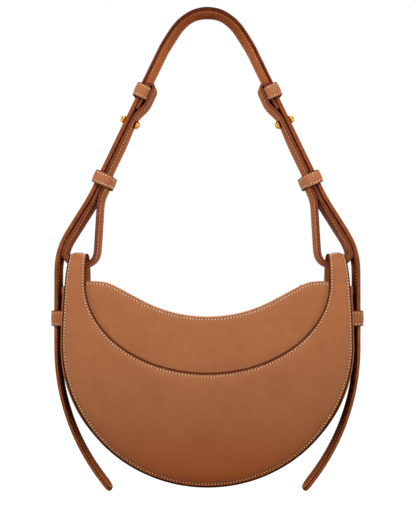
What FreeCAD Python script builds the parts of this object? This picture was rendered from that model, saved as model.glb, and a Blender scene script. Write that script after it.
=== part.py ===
import FreeCAD
import Part

import math
import os

# Half moon shoulder bag in leather. Millimetres, +Z up, front towards -Y.
# The origin is the middle of the strap arch's underside, where a shoulder or a hook carries the bag.

# Clearances
layer_gap = 0.2
slip_gap = 0.3
swing_gap = 0.4
overrun = 12.0
touching = 0.001

# Main strap
strap_width = 22.0
strap_thickness = 3.4
arch_radius = 36.0
flank_lean = 25.85
flank_length = 160.8
flare_lean = 32.4
knee_radius = 80.0
ankle_radius = 60.0
strap_stand_off = 2.2
drop_length = 153.7
tail_lean = 38.0
tail_bend_radius = 170.3
tail_length = 76.5
tip_radius = 9.0

# Loop straps, which carry the bag's horns
loop_thickness = 2.8
loop_set_off = 1.0
loop_corner_radius = 5.4
loop_drop = 13.6
loop_side_gap = 0.5
loop_ankle_radius = 30.0
loop_entry = 14.0
loop_entry_radius = 40.0
loop_end_inset = 1.5
loop_leg_gap = 0.6
loop_close_lead = 4.0
loop_close_length = 15.0
loop_close_radius = 40.0
loop_flare_lead = 7.6
loop_flare_length = 10.5
loop_flare_radius = 20.0
loop_tail_length = 6.0

# Keepers on the strap
keeper_wall = 1.8
lower_keeper_wall = 2.2
upper_keeper_place = 57.3
upper_keeper_height = 12.4
lower_keeper_place = 141.6
lower_keeper_height = 12.0
side_keeper_drop = 41.6
side_keeper_height = 14.0
side_keeper_foot = 5.0

# Screw studs
stud_place = 84.5
stud_hole_pitch = 31.0
stud_shaft_radius = 2.0
stud_screw_radius = 1.2
stud_head_radius = 3.6
stud_neck_radius = 3.1
stud_neck_height = 0.3
stud_flange_radius = 3.4
stud_flange_height = 0.4
stud_hole_radius = 2.2

# Body of the bag
panel_radius = 125.0
panel_thickness = 2.6
panel_rise = 61.7
panel_side_inset = 4.2
fold_headroom = 6.9
belly_half_depth = 31.0
belly_drop = 121.0
horn_tab_length = 35.0
horn_width = 18.5
crescent_depth_share = 0.636
crescent_drop = 8.2
yoke_thickness = 2.2
yoke_seam = 10.0
mouth_drop = 9.1
mouth_dip = 31.6
mouth_radius = 118.0
mouth_corner_radius = 30.0
mouth_arc_share = 0.75
edge_inset = 1.0
padding_inset = 3.0

# Gusset and inside layers
gusset_bulge = 4.6
gusset_base_bulge = 1.5
gusset_thickness = 2.2
gusset_top_drop = 13.2
stiffener_thickness = 1.6
stiffener_height = 34.0
lining_thickness = 1.0
lining_drop = 5.0
pocket_half_width = 55.0
pocket_height = 78.0
pocket_drop = 62.0
pocket_thickness = 1.2

# Zip
tape_thickness = 0.8
tape_depth = 12.0
tape_end_inset = 30.0
teeth_rise = 1.0
teeth_height = 3.2
teeth_thickness = 2.2
zip_path_radius = 150.0
zip_path_sink = 8.0
zip_end_inset = 36.83
zip_tab_angle = 5.5
zip_tab_thickness = 1.2
slider_length = 11.0
slider_width = 8.0
slider_height = 4.6
slider_slot_height = 2.4
slider_slot_depth = 2.6
pull_bar_radius = 0.9
pull_bar_rise = 2.4
pull_post_width = 1.4
pull_post_length = 3.0
pull_eye_radius = 2.1
pull_length = 16.0
pull_width = 3.8
pull_thickness = 1.4

# Ranges that set the room left at a bend
bag_swing_angle = 60.0


def vec(x, z):
    return FreeCAD.Vector(x, 0, z)


def heading(a, b):
    """Unit direction from corner a to corner b, in the front view."""
    length = math.hypot(b[0] - a[0], b[1] - a[1])
    return ((b[0] - a[0]) / length, (b[1] - a[1]) / length)


def moved(point, direction, distance):
    return (point[0] + direction[0] * distance, point[1] + direction[1] * distance)


def lean(angle):
    """Direction that points down and towards -X, at an angle from straight down."""
    turn = math.radians(angle)
    return (-math.sin(turn), -math.cos(turn))


def crossing(p, d, q, e):
    """Where the line through p along d meets the line through q along e."""
    bottom = d[0] * e[1] - d[1] * e[0]
    along = ((q[0] - p[0]) * e[1] - (q[1] - p[1]) * e[0]) / bottom
    return moved(p, d, along)


def parallel(points, distance):
    """Corners of the same route, a distance to the left of its direction of travel."""
    last = len(points) - 1
    result = []
    for i, point in enumerate(points):
        before = heading(points[max(i, 1) - 1], points[max(i, 1)])
        after = heading(points[min(i, last - 1)], points[min(i, last - 1) + 1])
        left_before = (-before[1], before[0])
        left_after = (-after[1], after[0])
        scale = distance / (1 + left_before[0] * left_after[0] + left_before[1] * left_after[1])
        side = (left_before[0] + left_after[0], left_before[1] + left_after[1])
        result.append(moved(point, side, scale))
    return result


def turn_side(a, b, c):
    """1 where the route a, b, c turns left and -1 where it turns right."""
    before, after = heading(a, b), heading(b, c)
    return 1 if before[0] * after[1] - before[1] * after[0] > 0 else -1


def rounded(points, radii):
    """Edges of a route whose corners are arcs of the given radii."""
    edges = []
    start = vec(*points[0])
    for i in range(1, len(points)):
        point, end = points[i], vec(*points[i])
        arc = None
        if radii[i]:
            before, after = heading(points[i - 1], point), heading(point, points[i + 1])
            half = math.acos(before[0] * after[0] + before[1] * after[1]) / 2
            reach = radii[i] * math.tan(half)
            side = heading((0, 0), (after[0] - before[0], after[1] - before[1]))
            middle = moved(point, side, radii[i] / math.cos(half) - radii[i])
            end = vec(*moved(point, before, -reach))
            arc = Part.Arc(end, vec(*middle), vec(*moved(point, after, reach)))
        if start.distanceToPoint(end) > touching:
            edges.append(Part.LineSegment(start, end).toShape())
        start = end
        if arc:
            edges.append(arc.toShape())
            start = vec(*moved(point, after, reach))
    return edges


def face_of(edges):
    return Part.Face(Part.Wire(Part.__sortEdges__(edges)))


def across(face, width):
    """A front-view face made solid, a width deep, half of it each side of the middle plane."""
    raised = face.copy()
    raised.translate(FreeCAD.Vector(0, -width / 2, 0))
    return raised.extrude(FreeCAD.Vector(0, width, 0))


def side_radii(points, radii, distance):
    """Radii of the parallel route: smaller on the inside of a turn, larger on the outside."""
    result = []
    for i, radius in enumerate(radii):
        side = turn_side(*points[i - 1 : i + 2]) if radius else 0
        result.append(radius - side * distance)
    return result


def strip(points, radii, thickness, width):
    """A strap of a thickness and width along a route."""
    edges = []
    ends = []
    for distance in (thickness / 2, -thickness / 2):
        corners = parallel(points, distance)
        edges += rounded(corners, side_radii(points, radii, distance))
        ends.append((vec(*corners[0]), vec(*corners[-1])))
    for k in (0, 1):
        edges.append(Part.LineSegment(ends[0][k], ends[1][k]).toShape())
    return across(face_of(edges), width)


def block(low, high):
    size = [b - a for a, b in zip(low, high)]
    return Part.makeBox(*size, FreeCAD.Vector(*low))


def mirror(shape):
    return shape.mirror(FreeCAD.Vector(0, 0, 0), FreeCAD.Vector(1, 0, 0))


# Places on the strap, left side, on the middle of its thickness
arch_middle = arch_radius + strap_thickness / 2
arch_turn = math.radians(90 - flank_lean)
flank = lean(flank_lean)
flare = lean(flare_lean)
inward = (-flank[1], flank[0])
arch_end = (-arch_middle * math.sin(arch_turn), arch_middle * math.cos(arch_turn) - arch_radius)
apex = (0, arch_middle / math.cos(arch_turn) - arch_radius)
strap_half_span = panel_radius + gusset_bulge + strap_stand_off + strap_thickness / 2
knee = moved(arch_end, flank, flank_length)
ankle = crossing(knee, flare, (-strap_half_span, 0), (0, -1))
tail_corner = moved(ankle, (0, -1), drop_length)
tail_tip = moved(tail_corner, lean(-tail_lean), tail_length)
left_route = [apex, knee, ankle, tail_corner, tail_tip]
strap_radii = [arch_middle, knee_radius, ankle_radius, tail_bend_radius, 0]

# Places on the bag that hang from the loops
loop_floor = ankle[1] - loop_drop
fold_inner_radius = math.hypot(strap_width / 2, fold_headroom) + swing_gap
fold_radius = fold_inner_radius + panel_thickness
fold_z = loop_floor + loop_thickness / 2 - fold_headroom
fold_top = fold_z + fold_radius
panel_z = fold_z - panel_rise
crescent_z = fold_z - crescent_drop
crescent_half_width = panel_radius - horn_width
crescent_depth = crescent_depth_share * panel_radius
mouth_flat_z = fold_z - mouth_drop
mouth_z = mouth_flat_z - mouth_dip
gusset_top = fold_z - gusset_top_drop
keeper_floor = fold_z - side_keeper_drop - side_keeper_height / 2
tail_hinge = keeper_floor - swing_gap - strap_thickness / 2
low_z = panel_z - panel_radius - gusset_base_bulge - overrun
high_z = fold_top + overrun
room = 2 * (belly_half_depth + overrun)

# The side profile widens from the fold to the belly on one arc each side
spread = 2 * math.atan2(belly_half_depth - fold_radius, belly_drop)
belly_radius = fold_radius + belly_drop / math.sin(spread)
belly_y = (belly_radius - fold_radius) * math.cos(spread)
belly_z = fold_z - belly_drop


def profile(inset):
    """Everything inside the bag's side profile, inset from its outside."""
    radius, top = belly_radius - inset, fold_radius - inset
    join = (top * math.cos(spread), fold_z + top * math.sin(spread))
    foot = low_z - belly_z
    edges = []
    corners = []
    for side in (-1, 1):
        centre = -side * belly_y
        reach = side * math.sqrt(radius * radius - foot * foot)
        corners.append(FreeCAD.Vector(0, centre + reach, low_z))
        arc = Part.Arc(
            FreeCAD.Vector(0, side * join[0], join[1]),
            FreeCAD.Vector(0, centre + side * radius, belly_z),
            corners[-1],
        )
        edges.append(arc.toShape())
    ends = [FreeCAD.Vector(0, side * join[0], join[1]) for side in (-1, 1)]
    edges.append(Part.Arc(ends[0], FreeCAD.Vector(0, 0, fold_z + top), ends[1]).toShape())
    edges.append(Part.LineSegment(corners[0], corners[1]).toShape())
    half = panel_radius + overrun
    face = face_of(edges)
    face.translate(FreeCAD.Vector(-half, 0, 0))
    return face.extrude(FreeCAD.Vector(2 * half, 0, 0))


def skin(start, thickness):
    """A layer of the bag's wall, a thickness deep from a depth below the outside."""
    return profile(start).cut(profile(start + thickness))


side_arc_radius = ((high_z - panel_z) ** 2 + panel_side_inset**2) / (2 * panel_side_inset)


def panel_half_width(z, inset):
    """Half the panel's width on its leaning sides."""
    rise = z - panel_z
    return panel_radius - side_arc_radius + math.sqrt((side_arc_radius - inset) ** 2 - rise * rise)


def half_moon(inset):
    """Prism of the bag's front outline, inset from its edge."""
    radius = panel_radius - inset
    ends = {}
    edges = []
    middle_z = (panel_z + high_z) / 2
    for side in (-1, 1):
        ends[side] = vec(side * panel_half_width(high_z, inset), high_z)
        middle = vec(side * panel_half_width(middle_z, inset), middle_z)
        edges.append(Part.Arc(vec(side * radius, panel_z), middle, ends[side]).toShape())
    base = Part.Arc(vec(-radius, panel_z), vec(0, panel_z - radius), vec(radius, panel_z))
    edges.append(base.toShape())
    edges.append(Part.LineSegment(ends[-1], ends[1]).toShape())
    return across(face_of(edges), room)


def crescent_window(growth):
    """Prism of the space above the crescent's inner edge, grown by a seam."""
    half, depth = crescent_half_width + growth, crescent_depth + growth
    oval = Part.Ellipse(vec(half, crescent_z), vec(0, crescent_z + depth), vec(0, crescent_z))
    left, right = vec(-half, crescent_z), vec(half, crescent_z)
    left_top, right_top = vec(-half, high_z + overrun), vec(half, high_z + overrun)
    edges = [oval.toShape(math.pi, 2 * math.pi)]
    for a, b in ((left, left_top), (left_top, right_top), (right_top, right)):
        edges.append(Part.LineSegment(a, b).toShape())
    return across(face_of(edges), room)


mouth_turn = math.acos(1 - mouth_arc_share * mouth_dip / mouth_radius)


def below_mouth(drop):
    """Prism of everything below the dipped top edge, lowered by a drop."""
    flat, bottom = mouth_flat_z - drop, mouth_z - drop
    arc_end = mouth_radius * math.sin(mouth_turn)
    shoulder = arc_end + (1 - mouth_arc_share) * mouth_dip / math.tan(mouth_turn)
    dip_corner = bottom - mouth_radius * (1 / math.cos(mouth_turn) - 1)
    half = panel_radius + overrun
    route = [(-half, flat), (-shoulder, flat), (0, dip_corner), (shoulder, flat), (half, flat)]
    radii = [0, mouth_corner_radius, mouth_radius, mouth_corner_radius, 0]
    edges = rounded(route, radii)
    low = low_z - overrun
    floor = [route[-1], (half, low), (-half, low), route[0]]
    for a, b in zip(floor, floor[1:]):
        edges.append(Part.LineSegment(vec(*a), vec(*b)).toShape())
    return across(face_of(edges), room)


def half_space(front):
    """The front or the back half of the room around the bag."""
    half = panel_radius + 2 * overrun
    near, far = (-room, 0) if front else (0, room)
    return block((-half, near, low_z - overrun), (half, far, high_z + overrun))


# Depths of the wall's layers below the outside
under_panel = panel_thickness + layer_gap
under_yoke = under_panel + yoke_thickness + layer_gap
under_tape = under_yoke + tape_thickness + layer_gap
under_lining = under_tape + lining_thickness + layer_gap

# Insets of the gusset's layers from the panel's edge
inside_gusset = gusset_thickness + layer_gap
inside_stiffener = inside_gusset + stiffener_thickness + layer_gap
inside_gusset_lining = inside_stiffener + lining_thickness + layer_gap

parts = {}


def front_panels():
    window = crescent_window(0)
    seam_window = crescent_window(yoke_seam)
    crescent = skin(0, panel_thickness).common(half_moon(0)).cut(window)
    back_limit = fold_z - horn_tab_length
    far = panel_radius + 2 * overrun
    crescent = crescent.cut(block((-far, 0, low_z - overrun), (far, room, back_limit)))
    layer = skin(under_panel, yoke_thickness).common(half_space(True))
    yoke = layer.common(below_mouth(0)).common(seam_window).common(half_moon(edge_inset))
    pad_window = crescent_window(yoke_seam + layer_gap)
    pad = layer.common(half_moon(padding_inset)).common(below_mouth(0)).cut(pad_window)
    parts["front_crescent_panel"] = crescent
    parts["front_yoke_panel"] = yoke
    parts["crescent_padding"] = pad


def back_panel():
    layer = skin(under_panel, yoke_thickness).common(half_space(False))
    parts["back_panel"] = layer.common(half_moon(0)).common(below_mouth(0))


def gusset_layers():
    inside = profile(under_yoke)
    depth = belly_half_depth
    edge, crown = panel_radius - edge_inset, panel_radius + gusset_bulge
    plan = []
    for side in (-1, 1):
        rim = [FreeCAD.Vector(side * edge, y, low_z) for y in (-depth, depth)]
        plan.append(Part.Arc(rim[0], FreeCAD.Vector(side * crown, 0, low_z), rim[1]).toShape())
    for y in (-depth, depth):
        ends = [FreeCAD.Vector(side * edge, y, low_z) for side in (-1, 1)]
        plan.append(Part.LineSegment(*ends).toShape())
    bulge = face_of(plan).extrude(FreeCAD.Vector(0, 0, gusset_top - low_z))
    oval = Part.Ellipse(
        vec(crown, panel_z),
        vec(0, panel_z + panel_radius + gusset_base_bulge),
        vec(0, panel_z),
    )
    sides = [vec(side * crown, gusset_top) for side in (-1, 1)]
    rim = [oval.toShape(math.pi, 2 * math.pi)]
    rim.append(Part.LineSegment(vec(-crown, panel_z), sides[0]).toShape())
    rim.append(Part.LineSegment(*sides).toShape())
    rim.append(Part.LineSegment(sides[1], vec(crown, panel_z)).toShape())
    outside = across(face_of(rim), room).common(bulge)
    hollow = half_moon(gusset_thickness)
    parts["gusset"] = outside.cut(hollow).common(inside)
    far = panel_radius + overrun
    base = block((-far, -room, low_z), (far, room, panel_z - panel_radius + stiffener_height))
    board = half_moon(inside_gusset).cut(half_moon(inside_gusset + stiffener_thickness))
    parts["base_stiffener"] = board.common(base).common(inside)
    body = block((-far, -room, low_z), (far, room, gusset_top))
    lining = half_moon(inside_stiffener).cut(half_moon(inside_stiffener + lining_thickness))
    parts["gusset_lining"] = lining.common(body).common(inside)


def linings():
    outline = half_moon(inside_gusset_lining).common(below_mouth(lining_drop))
    layer = skin(under_tape, lining_thickness).common(outline)
    for name, front in (("front_lining", True), ("back_lining", False)):
        parts[name] = layer.common(half_space(front))
    top = mouth_z - pocket_drop + pocket_height / 2
    frame = block(
        (-pocket_half_width, 0, top - pocket_height),
        (pocket_half_width, room, top),
    )
    parts["slip_pocket"] = skin(under_lining, pocket_thickness).common(frame)


def zip_tapes():
    tape_end = panel_radius - tape_end_inset
    limit = block((-tape_end, -room, low_z), (tape_end, room, high_z))
    band = below_mouth(0).cut(below_mouth(tape_depth)).common(limit)
    tape = skin(under_yoke, tape_thickness).common(band)
    line = below_mouth(-teeth_rise).cut(below_mouth(teeth_height - teeth_rise)).common(limit)
    teeth = skin(under_tape, teeth_thickness).common(line)
    for end, front in (("front", True), ("back", False)):
        parts["zip_tape_" + end] = tape.common(half_space(front))
        parts["zip_teeth_" + end] = teeth.common(half_space(front))


zip_centre = FreeCAD.Vector(0, 0, mouth_z - zip_path_sink + zip_path_radius)
zip_park_angle = math.degrees(math.asin((panel_radius - zip_end_inset) / zip_path_radius))
side_axis = FreeCAD.Vector(0, 1, 0)


def along_zip(shape, angle):
    """A shape built at the lowest point of the zip's path, carried along it towards +X."""
    placed = shape.copy()
    placed.rotate(zip_centre, side_axis, -angle)
    return placed


def zip_ends():
    track_z = zip_centre.z - zip_path_radius
    centre = (0, zip_centre.z)
    outer, inner = zip_path_radius + zip_tab_thickness, zip_path_radius
    angles = [math.radians(zip_park_angle + k * zip_tab_angle) for k in (-1, 0, 1)]
    curves = []
    for radius in (outer, inner):
        spots = [moved(centre, (math.sin(a), -math.cos(a)), radius) for a in angles]
        curves.append([vec(*spot) for spot in spots])
    edges = [Part.Arc(*curve).toShape() for curve in curves]
    edges += [Part.LineSegment(curves[0][k], curves[1][k]).toShape() for k in (0, -1)]
    tab = across(face_of(edges), room).common(profile(under_lining))
    parts["right_zip_tab"] = tab
    parts["left_zip_tab"] = mirror(tab)
    low = track_z + slip_gap
    top = low + slider_height
    half = slider_length / 2
    wide = slider_width / 2
    body = block((-half, -wide, low), (half, wide, top))
    slot_low = low + (slider_height - slider_slot_height) / 2
    for side in (-1, 1):
        edge, root = side * (wide + overrun), side * (wide - slider_slot_depth)
        ys = sorted((edge, root))
        ends = [half + overrun, slot_low + slider_slot_height]
        body = body.cut(block((-ends[0], ys[0], slot_low), (ends[0], ys[1], ends[1])))
    bar_z = top + pull_bar_rise
    post_top = bar_z + pull_bar_radius
    post = pull_post_length / 2
    for side in (-1, 1):
        ys = sorted((side * wide, side * (wide - pull_post_width)))
        body = body.fuse(block((-post, ys[0], top), (post, ys[1], post_top)))
    reach = slider_width - pull_post_width
    bar = Part.makeCylinder(pull_bar_radius, reach, FreeCAD.Vector(0, -reach / 2, bar_z), side_axis)
    body = body.fuse(bar).removeSplitter()
    parts["zip_slider"] = along_zip(body, zip_park_angle)
    eye_at = FreeCAD.Vector(0, -pull_width / 2, bar_z)
    pull = Part.makeCylinder(pull_eye_radius, pull_width, eye_at, side_axis)
    plate_low = bar_z - pull_thickness / 2
    plate_top = plate_low + pull_thickness
    plate = block((-pull_length, -pull_width / 2, plate_low), (0, pull_width / 2, plate_top))
    hole = Part.makeCylinder(pull_bar_radius + slip_gap, pull_width, eye_at, side_axis)
    pull = pull.fuse(plate).cut(hole).removeSplitter()
    parts["zip_pull"] = along_zip(pull, zip_park_angle)
    bar_axis = Part.Vertex(0, 0, bar_z)
    bar_axis.rotate(zip_centre, side_axis, -zip_park_angle)
    print("pull bar", bar_axis.X, bar_axis.Z)


# Layers across the flank of the strap, from the middle of the main strap inwards
inner_leg = strap_thickness / 2 + loop_set_off + loop_thickness / 2
outer_leg = inner_leg + loop_thickness + loop_leg_gap
crest_leg = inner_leg + loop_thickness + keeper_wall + 2 * slip_gap
stud_face = inner_leg + loop_thickness / 2


def on_flank(place, offset):
    """A point on the left flank, a distance down from the arch and inwards from the strap."""
    return moved(moved(arch_end, flank, place), inward, offset)


def laid_on_flank(shape):
    """A shape built with X inwards and -Z down the strap, laid on the left flank."""
    placed = shape.copy()
    placed.rotate(FreeCAD.Vector(0, 0, 0), side_axis, flank_lean)
    placed.translate(vec(*arch_end))
    return placed


def stud_holes():
    """Holes for the stud in each of its two places, on the left flank."""
    near = -strap_thickness / 2 - overrun
    long = stud_face + overrun - near
    holes = []
    for place in (stud_place, stud_place + stud_hole_pitch):
        at = FreeCAD.Vector(near, 0, -place)
        holes.append(Part.makeCylinder(stud_hole_radius, long, at, FreeCAD.Vector(1, 0, 0)))
    return laid_on_flank(Part.makeCompound(holes))


def main_strap():
    mirrored = [(-x, z) for x, z in left_route[:0:-1]]
    route = mirrored + left_route
    radii = strap_radii[:0:-1] + strap_radii
    whole = strip(route, radii, strap_thickness, strap_width)
    holes = stud_holes()
    whole = whole.cut(holes).cut(mirror(holes))
    half = strap_half_span + overrun
    deep = strap_width / 2 + overrun
    ceiling = apex[1]
    floor = tail_tip[1] - overrun
    along_x = FreeCAD.Vector(1, 0, 0)
    fold_at = FreeCAD.Vector(-half, 0, fold_z)
    knuckle = Part.makeCylinder(strap_width / 2, 2 * half, fold_at, along_x)
    above = block((-half, -deep, fold_z), (half, deep, ceiling))
    parts["main_strap"] = whole.common(above.fuse(knuckle))
    swing = math.radians(bag_swing_angle) / 2
    clear_radius = strap_width / 2 / math.cos(swing) + swing_gap
    clear = Part.makeCylinder(clear_radius, 2 * half, fold_at, along_x)
    run_floor = tail_hinge + strap_thickness / 2 + swing_gap
    run = whole.common(block((-half, -deep, run_floor), (0, deep, fold_z))).cut(clear)
    tail = whole.common(block((-half, -deep, floor), (0, deep, tail_hinge)))
    hinge_at = FreeCAD.Vector(-strap_half_span, -strap_width / 2, tail_hinge)
    tail = tail.fuse(Part.makeCylinder(strap_thickness / 2, strap_width, hinge_at, side_axis))
    tail = tail.removeSplitter()
    corners = []
    for edge in tail.Edges:
        near_tip = all(v.Point.distanceToPoint(vec(*tail_tip)) < strap_width for v in edge.Vertexes)
        if near_tip and abs(edge.Length - strap_thickness) < layer_gap:
            corners.append(edge)
    tail = tail.makeFillet(tip_radius, corners)
    for side, flip in (("left", False), ("right", True)):
        parts[side + "_strap_run"] = mirror(run) if flip else run
        parts[side + "_strap_tail"] = mirror(tail) if flip else tail


def loop_straps():
    horn_edge = panel_half_width(loop_floor + fold_headroom, 0)
    corner = loop_corner_radius - loop_thickness / 2
    outside = horn_edge + loop_side_gap + corner + loop_thickness / 2
    inside = crescent_half_width - loop_side_gap - corner - loop_thickness / 2
    crest_radius = (crest_leg - inner_leg) / 2
    crest = upper_keeper_place - upper_keeper_height / 2 - slip_gap - crest_radius
    upper_floor = upper_keeper_place + upper_keeper_height / 2
    lower_top = lower_keeper_place - lower_keeper_height / 2
    close_start = lower_top - loop_close_lead
    flare_start = stud_place - loop_flare_lead
    inner_knee = parallel(left_route, inner_leg)[1]
    corners = [
        (on_flank(lower_top + loop_end_inset, inner_leg), 0),
        (inner_knee, knee_radius),
        (crossing(inner_knee, flare, (-outside, 0), (0, -1)), loop_ankle_radius),
        ((-outside, loop_floor), loop_corner_radius),
        ((-inside, loop_floor), loop_corner_radius),
        (on_flank(lower_keeper_place + loop_entry, outer_leg), loop_entry_radius),
        (on_flank(close_start, outer_leg), loop_close_radius),
        (on_flank(close_start - loop_close_length, inner_leg), loop_close_radius),
        (on_flank(flare_start, inner_leg), loop_flare_radius),
        (on_flank(flare_start - loop_flare_length, crest_leg), loop_flare_radius),
        (on_flank(crest, crest_leg), crest_radius),
        (on_flank(crest, inner_leg), crest_radius),
        (on_flank(upper_floor + loop_tail_length, inner_leg), 0),
    ]
    points, radii = zip(*corners)
    loop = strip(list(points), list(radii), loop_thickness, strap_width)
    loop = loop.cut(stud_holes())
    parts["left_loop_strap"] = loop
    parts["right_loop_strap"] = mirror(loop)


def keeper(inner_face, place, height, wall):
    """A leather band round the strap's layers, built on the left flank."""
    near = -strap_thickness / 2 - slip_gap
    far = inner_face + slip_gap
    wide = strap_width / 2 + slip_gap
    top, bottom = height / 2 - place, -height / 2 - place
    outside = block((near - wall, -wide - wall, bottom), (far + wall, wide + wall, top))
    hole = block((near, -wide, bottom - overrun), (far, wide, top + overrun))
    return laid_on_flank(outside.cut(hole))


def strap_keepers():
    stack_face = outer_leg + loop_thickness / 2
    upper = keeper(stud_face, upper_keeper_place, upper_keeper_height, keeper_wall)
    lower = keeper(stack_face, lower_keeper_place, lower_keeper_height, lower_keeper_wall)
    for name, shape in (("upper_keeper", upper), ("lower_keeper", lower)):
        parts["left_" + name] = shape
        parts["right_" + name] = mirror(shape)


def side_keepers():
    wide = strap_width / 2 + slip_gap
    near = strap_half_span - strap_thickness / 2 - slip_gap
    far = strap_half_span + strap_thickness / 2 + slip_gap
    middle = fold_z - side_keeper_drop
    low, high = middle - side_keeper_height / 2, middle + side_keeper_height / 2
    foot = -near + side_keeper_foot
    edge = wide + keeper_wall
    outside = block((-far - keeper_wall, -edge, low), (foot, edge, high))
    hole = block((-far, -wide, low - overrun), (foot + overrun, wide, high + overrun))
    band = outside.cut(hole).cut(Part.makeCompound([parts["gusset"]]))
    parts["left_side_keeper"] = band
    parts["right_side_keeper"] = mirror(band)


def turned(foot):
    """A round head on the plane X = 0, and below it the stem whose outline the foot's points give."""
    neck_end = stud_flange_height + stud_neck_height
    ball = neck_end + math.sqrt(stud_head_radius**2 - stud_neck_radius**2)
    bow = stud_head_radius * math.sin(math.pi / 4)
    rim = [(neck_end, stud_neck_radius), (stud_flange_height, stud_neck_radius)]
    rim += [(stud_flange_height, stud_flange_radius), (0, stud_flange_radius)]
    line = [FreeCAD.Vector(x, y, 0) for x, y in rim + foot + [(ball + stud_head_radius, 0)]]
    arc = Part.Arc(line[-1], FreeCAD.Vector(ball + bow, bow, 0), line[0]).toShape()
    face = Part.Face(Part.Wire([arc] + Part.makePolygon(line).Edges))
    return face.revolve(FreeCAD.Vector(0, 0, 0), FreeCAD.Vector(1, 0, 0))


def studs():
    """A screw stud through the strap's layers: a post and a cap, each with a round head."""
    face_a, face_b = -strap_thickness / 2, stud_face
    grip = face_b - face_a - slip_gap
    bore_radius = stud_screw_radius + layer_gap / 2
    shaft = [(0, stud_shaft_radius), (-grip, stud_shaft_radius), (-grip, bore_radius)]
    post = mirror(turned(shaft + [(-grip / 2, bore_radius), (-grip / 2, 0)]))
    post.translate(FreeCAD.Vector(face_a, 0, -stud_place))
    screw_length = face_b - face_a - grip / 2
    cap = turned([(0, stud_screw_radius), (-screw_length, stud_screw_radius), (-screw_length, 0)])
    cap.translate(FreeCAD.Vector(face_b + slip_gap, 0, -stud_place))
    for name, shape in (("stud_post", post), ("stud_cap", cap)):
        placed = laid_on_flank(shape)
        parts["left_" + name] = placed
        parts["right_" + name] = mirror(placed)


front_panels()
back_panel()
gusset_layers()
linings()
zip_tapes()
zip_ends()
main_strap()
loop_straps()
strap_keepers()
side_keepers()
studs()

os.makedirs("parts", exist_ok=True)
for name, shape in parts.items():
    solid = shape.Solids[0] if len(shape.Solids) == 1 else shape
    solid.exportStep(os.path.join("parts", name + ".step"))
    box = solid.BoundBox
    print(f"{name}: {len(shape.Solids)} solid, valid {solid.isValid()}, {solid.Volume:.0f} mm3,", end=" ")
    print(f"X {box.XMin:.1f} {box.XMax:.1f}, Y {box.YMin:.1f} {box.YMax:.1f},", end=" ")
    print(f"Z {box.ZMin:.1f} {box.ZMax:.1f}")
print("fold axis", fold_z, "tail hinge", strap_half_span, tail_hinge, "zip centre", zip_centre.z)
print("flank", flank, "stud", on_flank(stud_place, 0))
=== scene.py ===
import bisect
import math
from collections import namedtuple

import bmesh
import bpy
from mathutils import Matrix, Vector


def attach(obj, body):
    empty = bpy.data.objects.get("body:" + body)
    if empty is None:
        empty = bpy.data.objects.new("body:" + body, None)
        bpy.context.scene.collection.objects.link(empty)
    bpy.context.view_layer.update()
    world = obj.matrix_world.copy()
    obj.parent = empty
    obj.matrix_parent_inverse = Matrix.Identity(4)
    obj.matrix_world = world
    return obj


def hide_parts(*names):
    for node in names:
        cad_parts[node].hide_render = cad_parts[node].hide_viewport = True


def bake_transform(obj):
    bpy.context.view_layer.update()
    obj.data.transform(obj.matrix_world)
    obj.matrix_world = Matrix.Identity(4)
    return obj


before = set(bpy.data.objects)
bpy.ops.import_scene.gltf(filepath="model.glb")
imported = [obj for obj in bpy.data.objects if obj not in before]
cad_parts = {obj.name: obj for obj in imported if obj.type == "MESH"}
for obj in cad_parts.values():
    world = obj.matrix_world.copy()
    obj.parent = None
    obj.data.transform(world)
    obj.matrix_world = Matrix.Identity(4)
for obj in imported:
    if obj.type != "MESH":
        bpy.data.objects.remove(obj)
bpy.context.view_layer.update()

# Half moon shoulder bag. Sizes are in millimetres, and a mesh is made in metres.
MM = 0.001
ACROSS = Vector((0, 1, 0))

# Main strap and loop straps
STRAP_WIDTH, STRAP_THICKNESS, LOOP_THICKNESS = 22.0, 3.4, 2.8
ARCH_RADIUS = 36.0
FLANK_LEAN, FLARE_LEAN, FLANK_LENGTH = 25.85, 32.4, 160.8
KNEE_RADIUS, ANKLE_RADIUS = 80.0, 60.0
STRAP_HALF_SPAN, DROP_LENGTH = 133.5, 150.7
TAIL_LEAN, TAIL_BEND_RADIUS, TAIL_LENGTH, TIP_RADIUS = 37.0, 192.0, 79.5, 9.0
INNER_LEG, OUTER_LEG, CREST_LEG = 4.1, 7.5, 9.3

# Keepers and studs, by their place down the flank
UPPER_KEEPER_PLACE, UPPER_KEEPER_HEIGHT = 56.6, 13.0
LOWER_KEEPER_PLACE, LOWER_KEEPER_HEIGHT = 141.6, 12.0
SIDE_KEEPER_DROP, SIDE_KEEPER_HEIGHT = 41.6, 14.0
KEEPER_WALL, LOWER_KEEPER_WALL = 1.8, 2.2
STUD_PLACE, STUD_PITCH = 84.5, 31.0

# Body of the bag, which hangs in the loops by the folds of its horns
FOLD_Z, FOLD_RADIUS = -229.795164, 15.984914
PANEL_RADIUS, PANEL_RISE = 125.0, 61.7
BELLY_DROP, BELLY_HALF_DEPTH = 121.0, 31.0
SIDE_INSET, SIDE_HEADROOM = 4.2, 12.0
CRESCENT_DROP, CRESCENT_HALF_WIDTH, CRESCENT_DEPTH = 8.2, 106.5, 79.5
MOUTH_FLAT_Z, MOUTH_DIP, MOUTH_RADIUS, MOUTH_CORNER = -237.8, 31.3, 124.0, 38.0
MOUTH_ARC_SHARE, BACK_DROP = 0.48, 1.6
HORN_TAB_DROP = 35.0
GUSSET_DROP, GUSSET_BULGE, GUSSET_BASE_BULGE = 13.2, 5.4, 2.6

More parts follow.
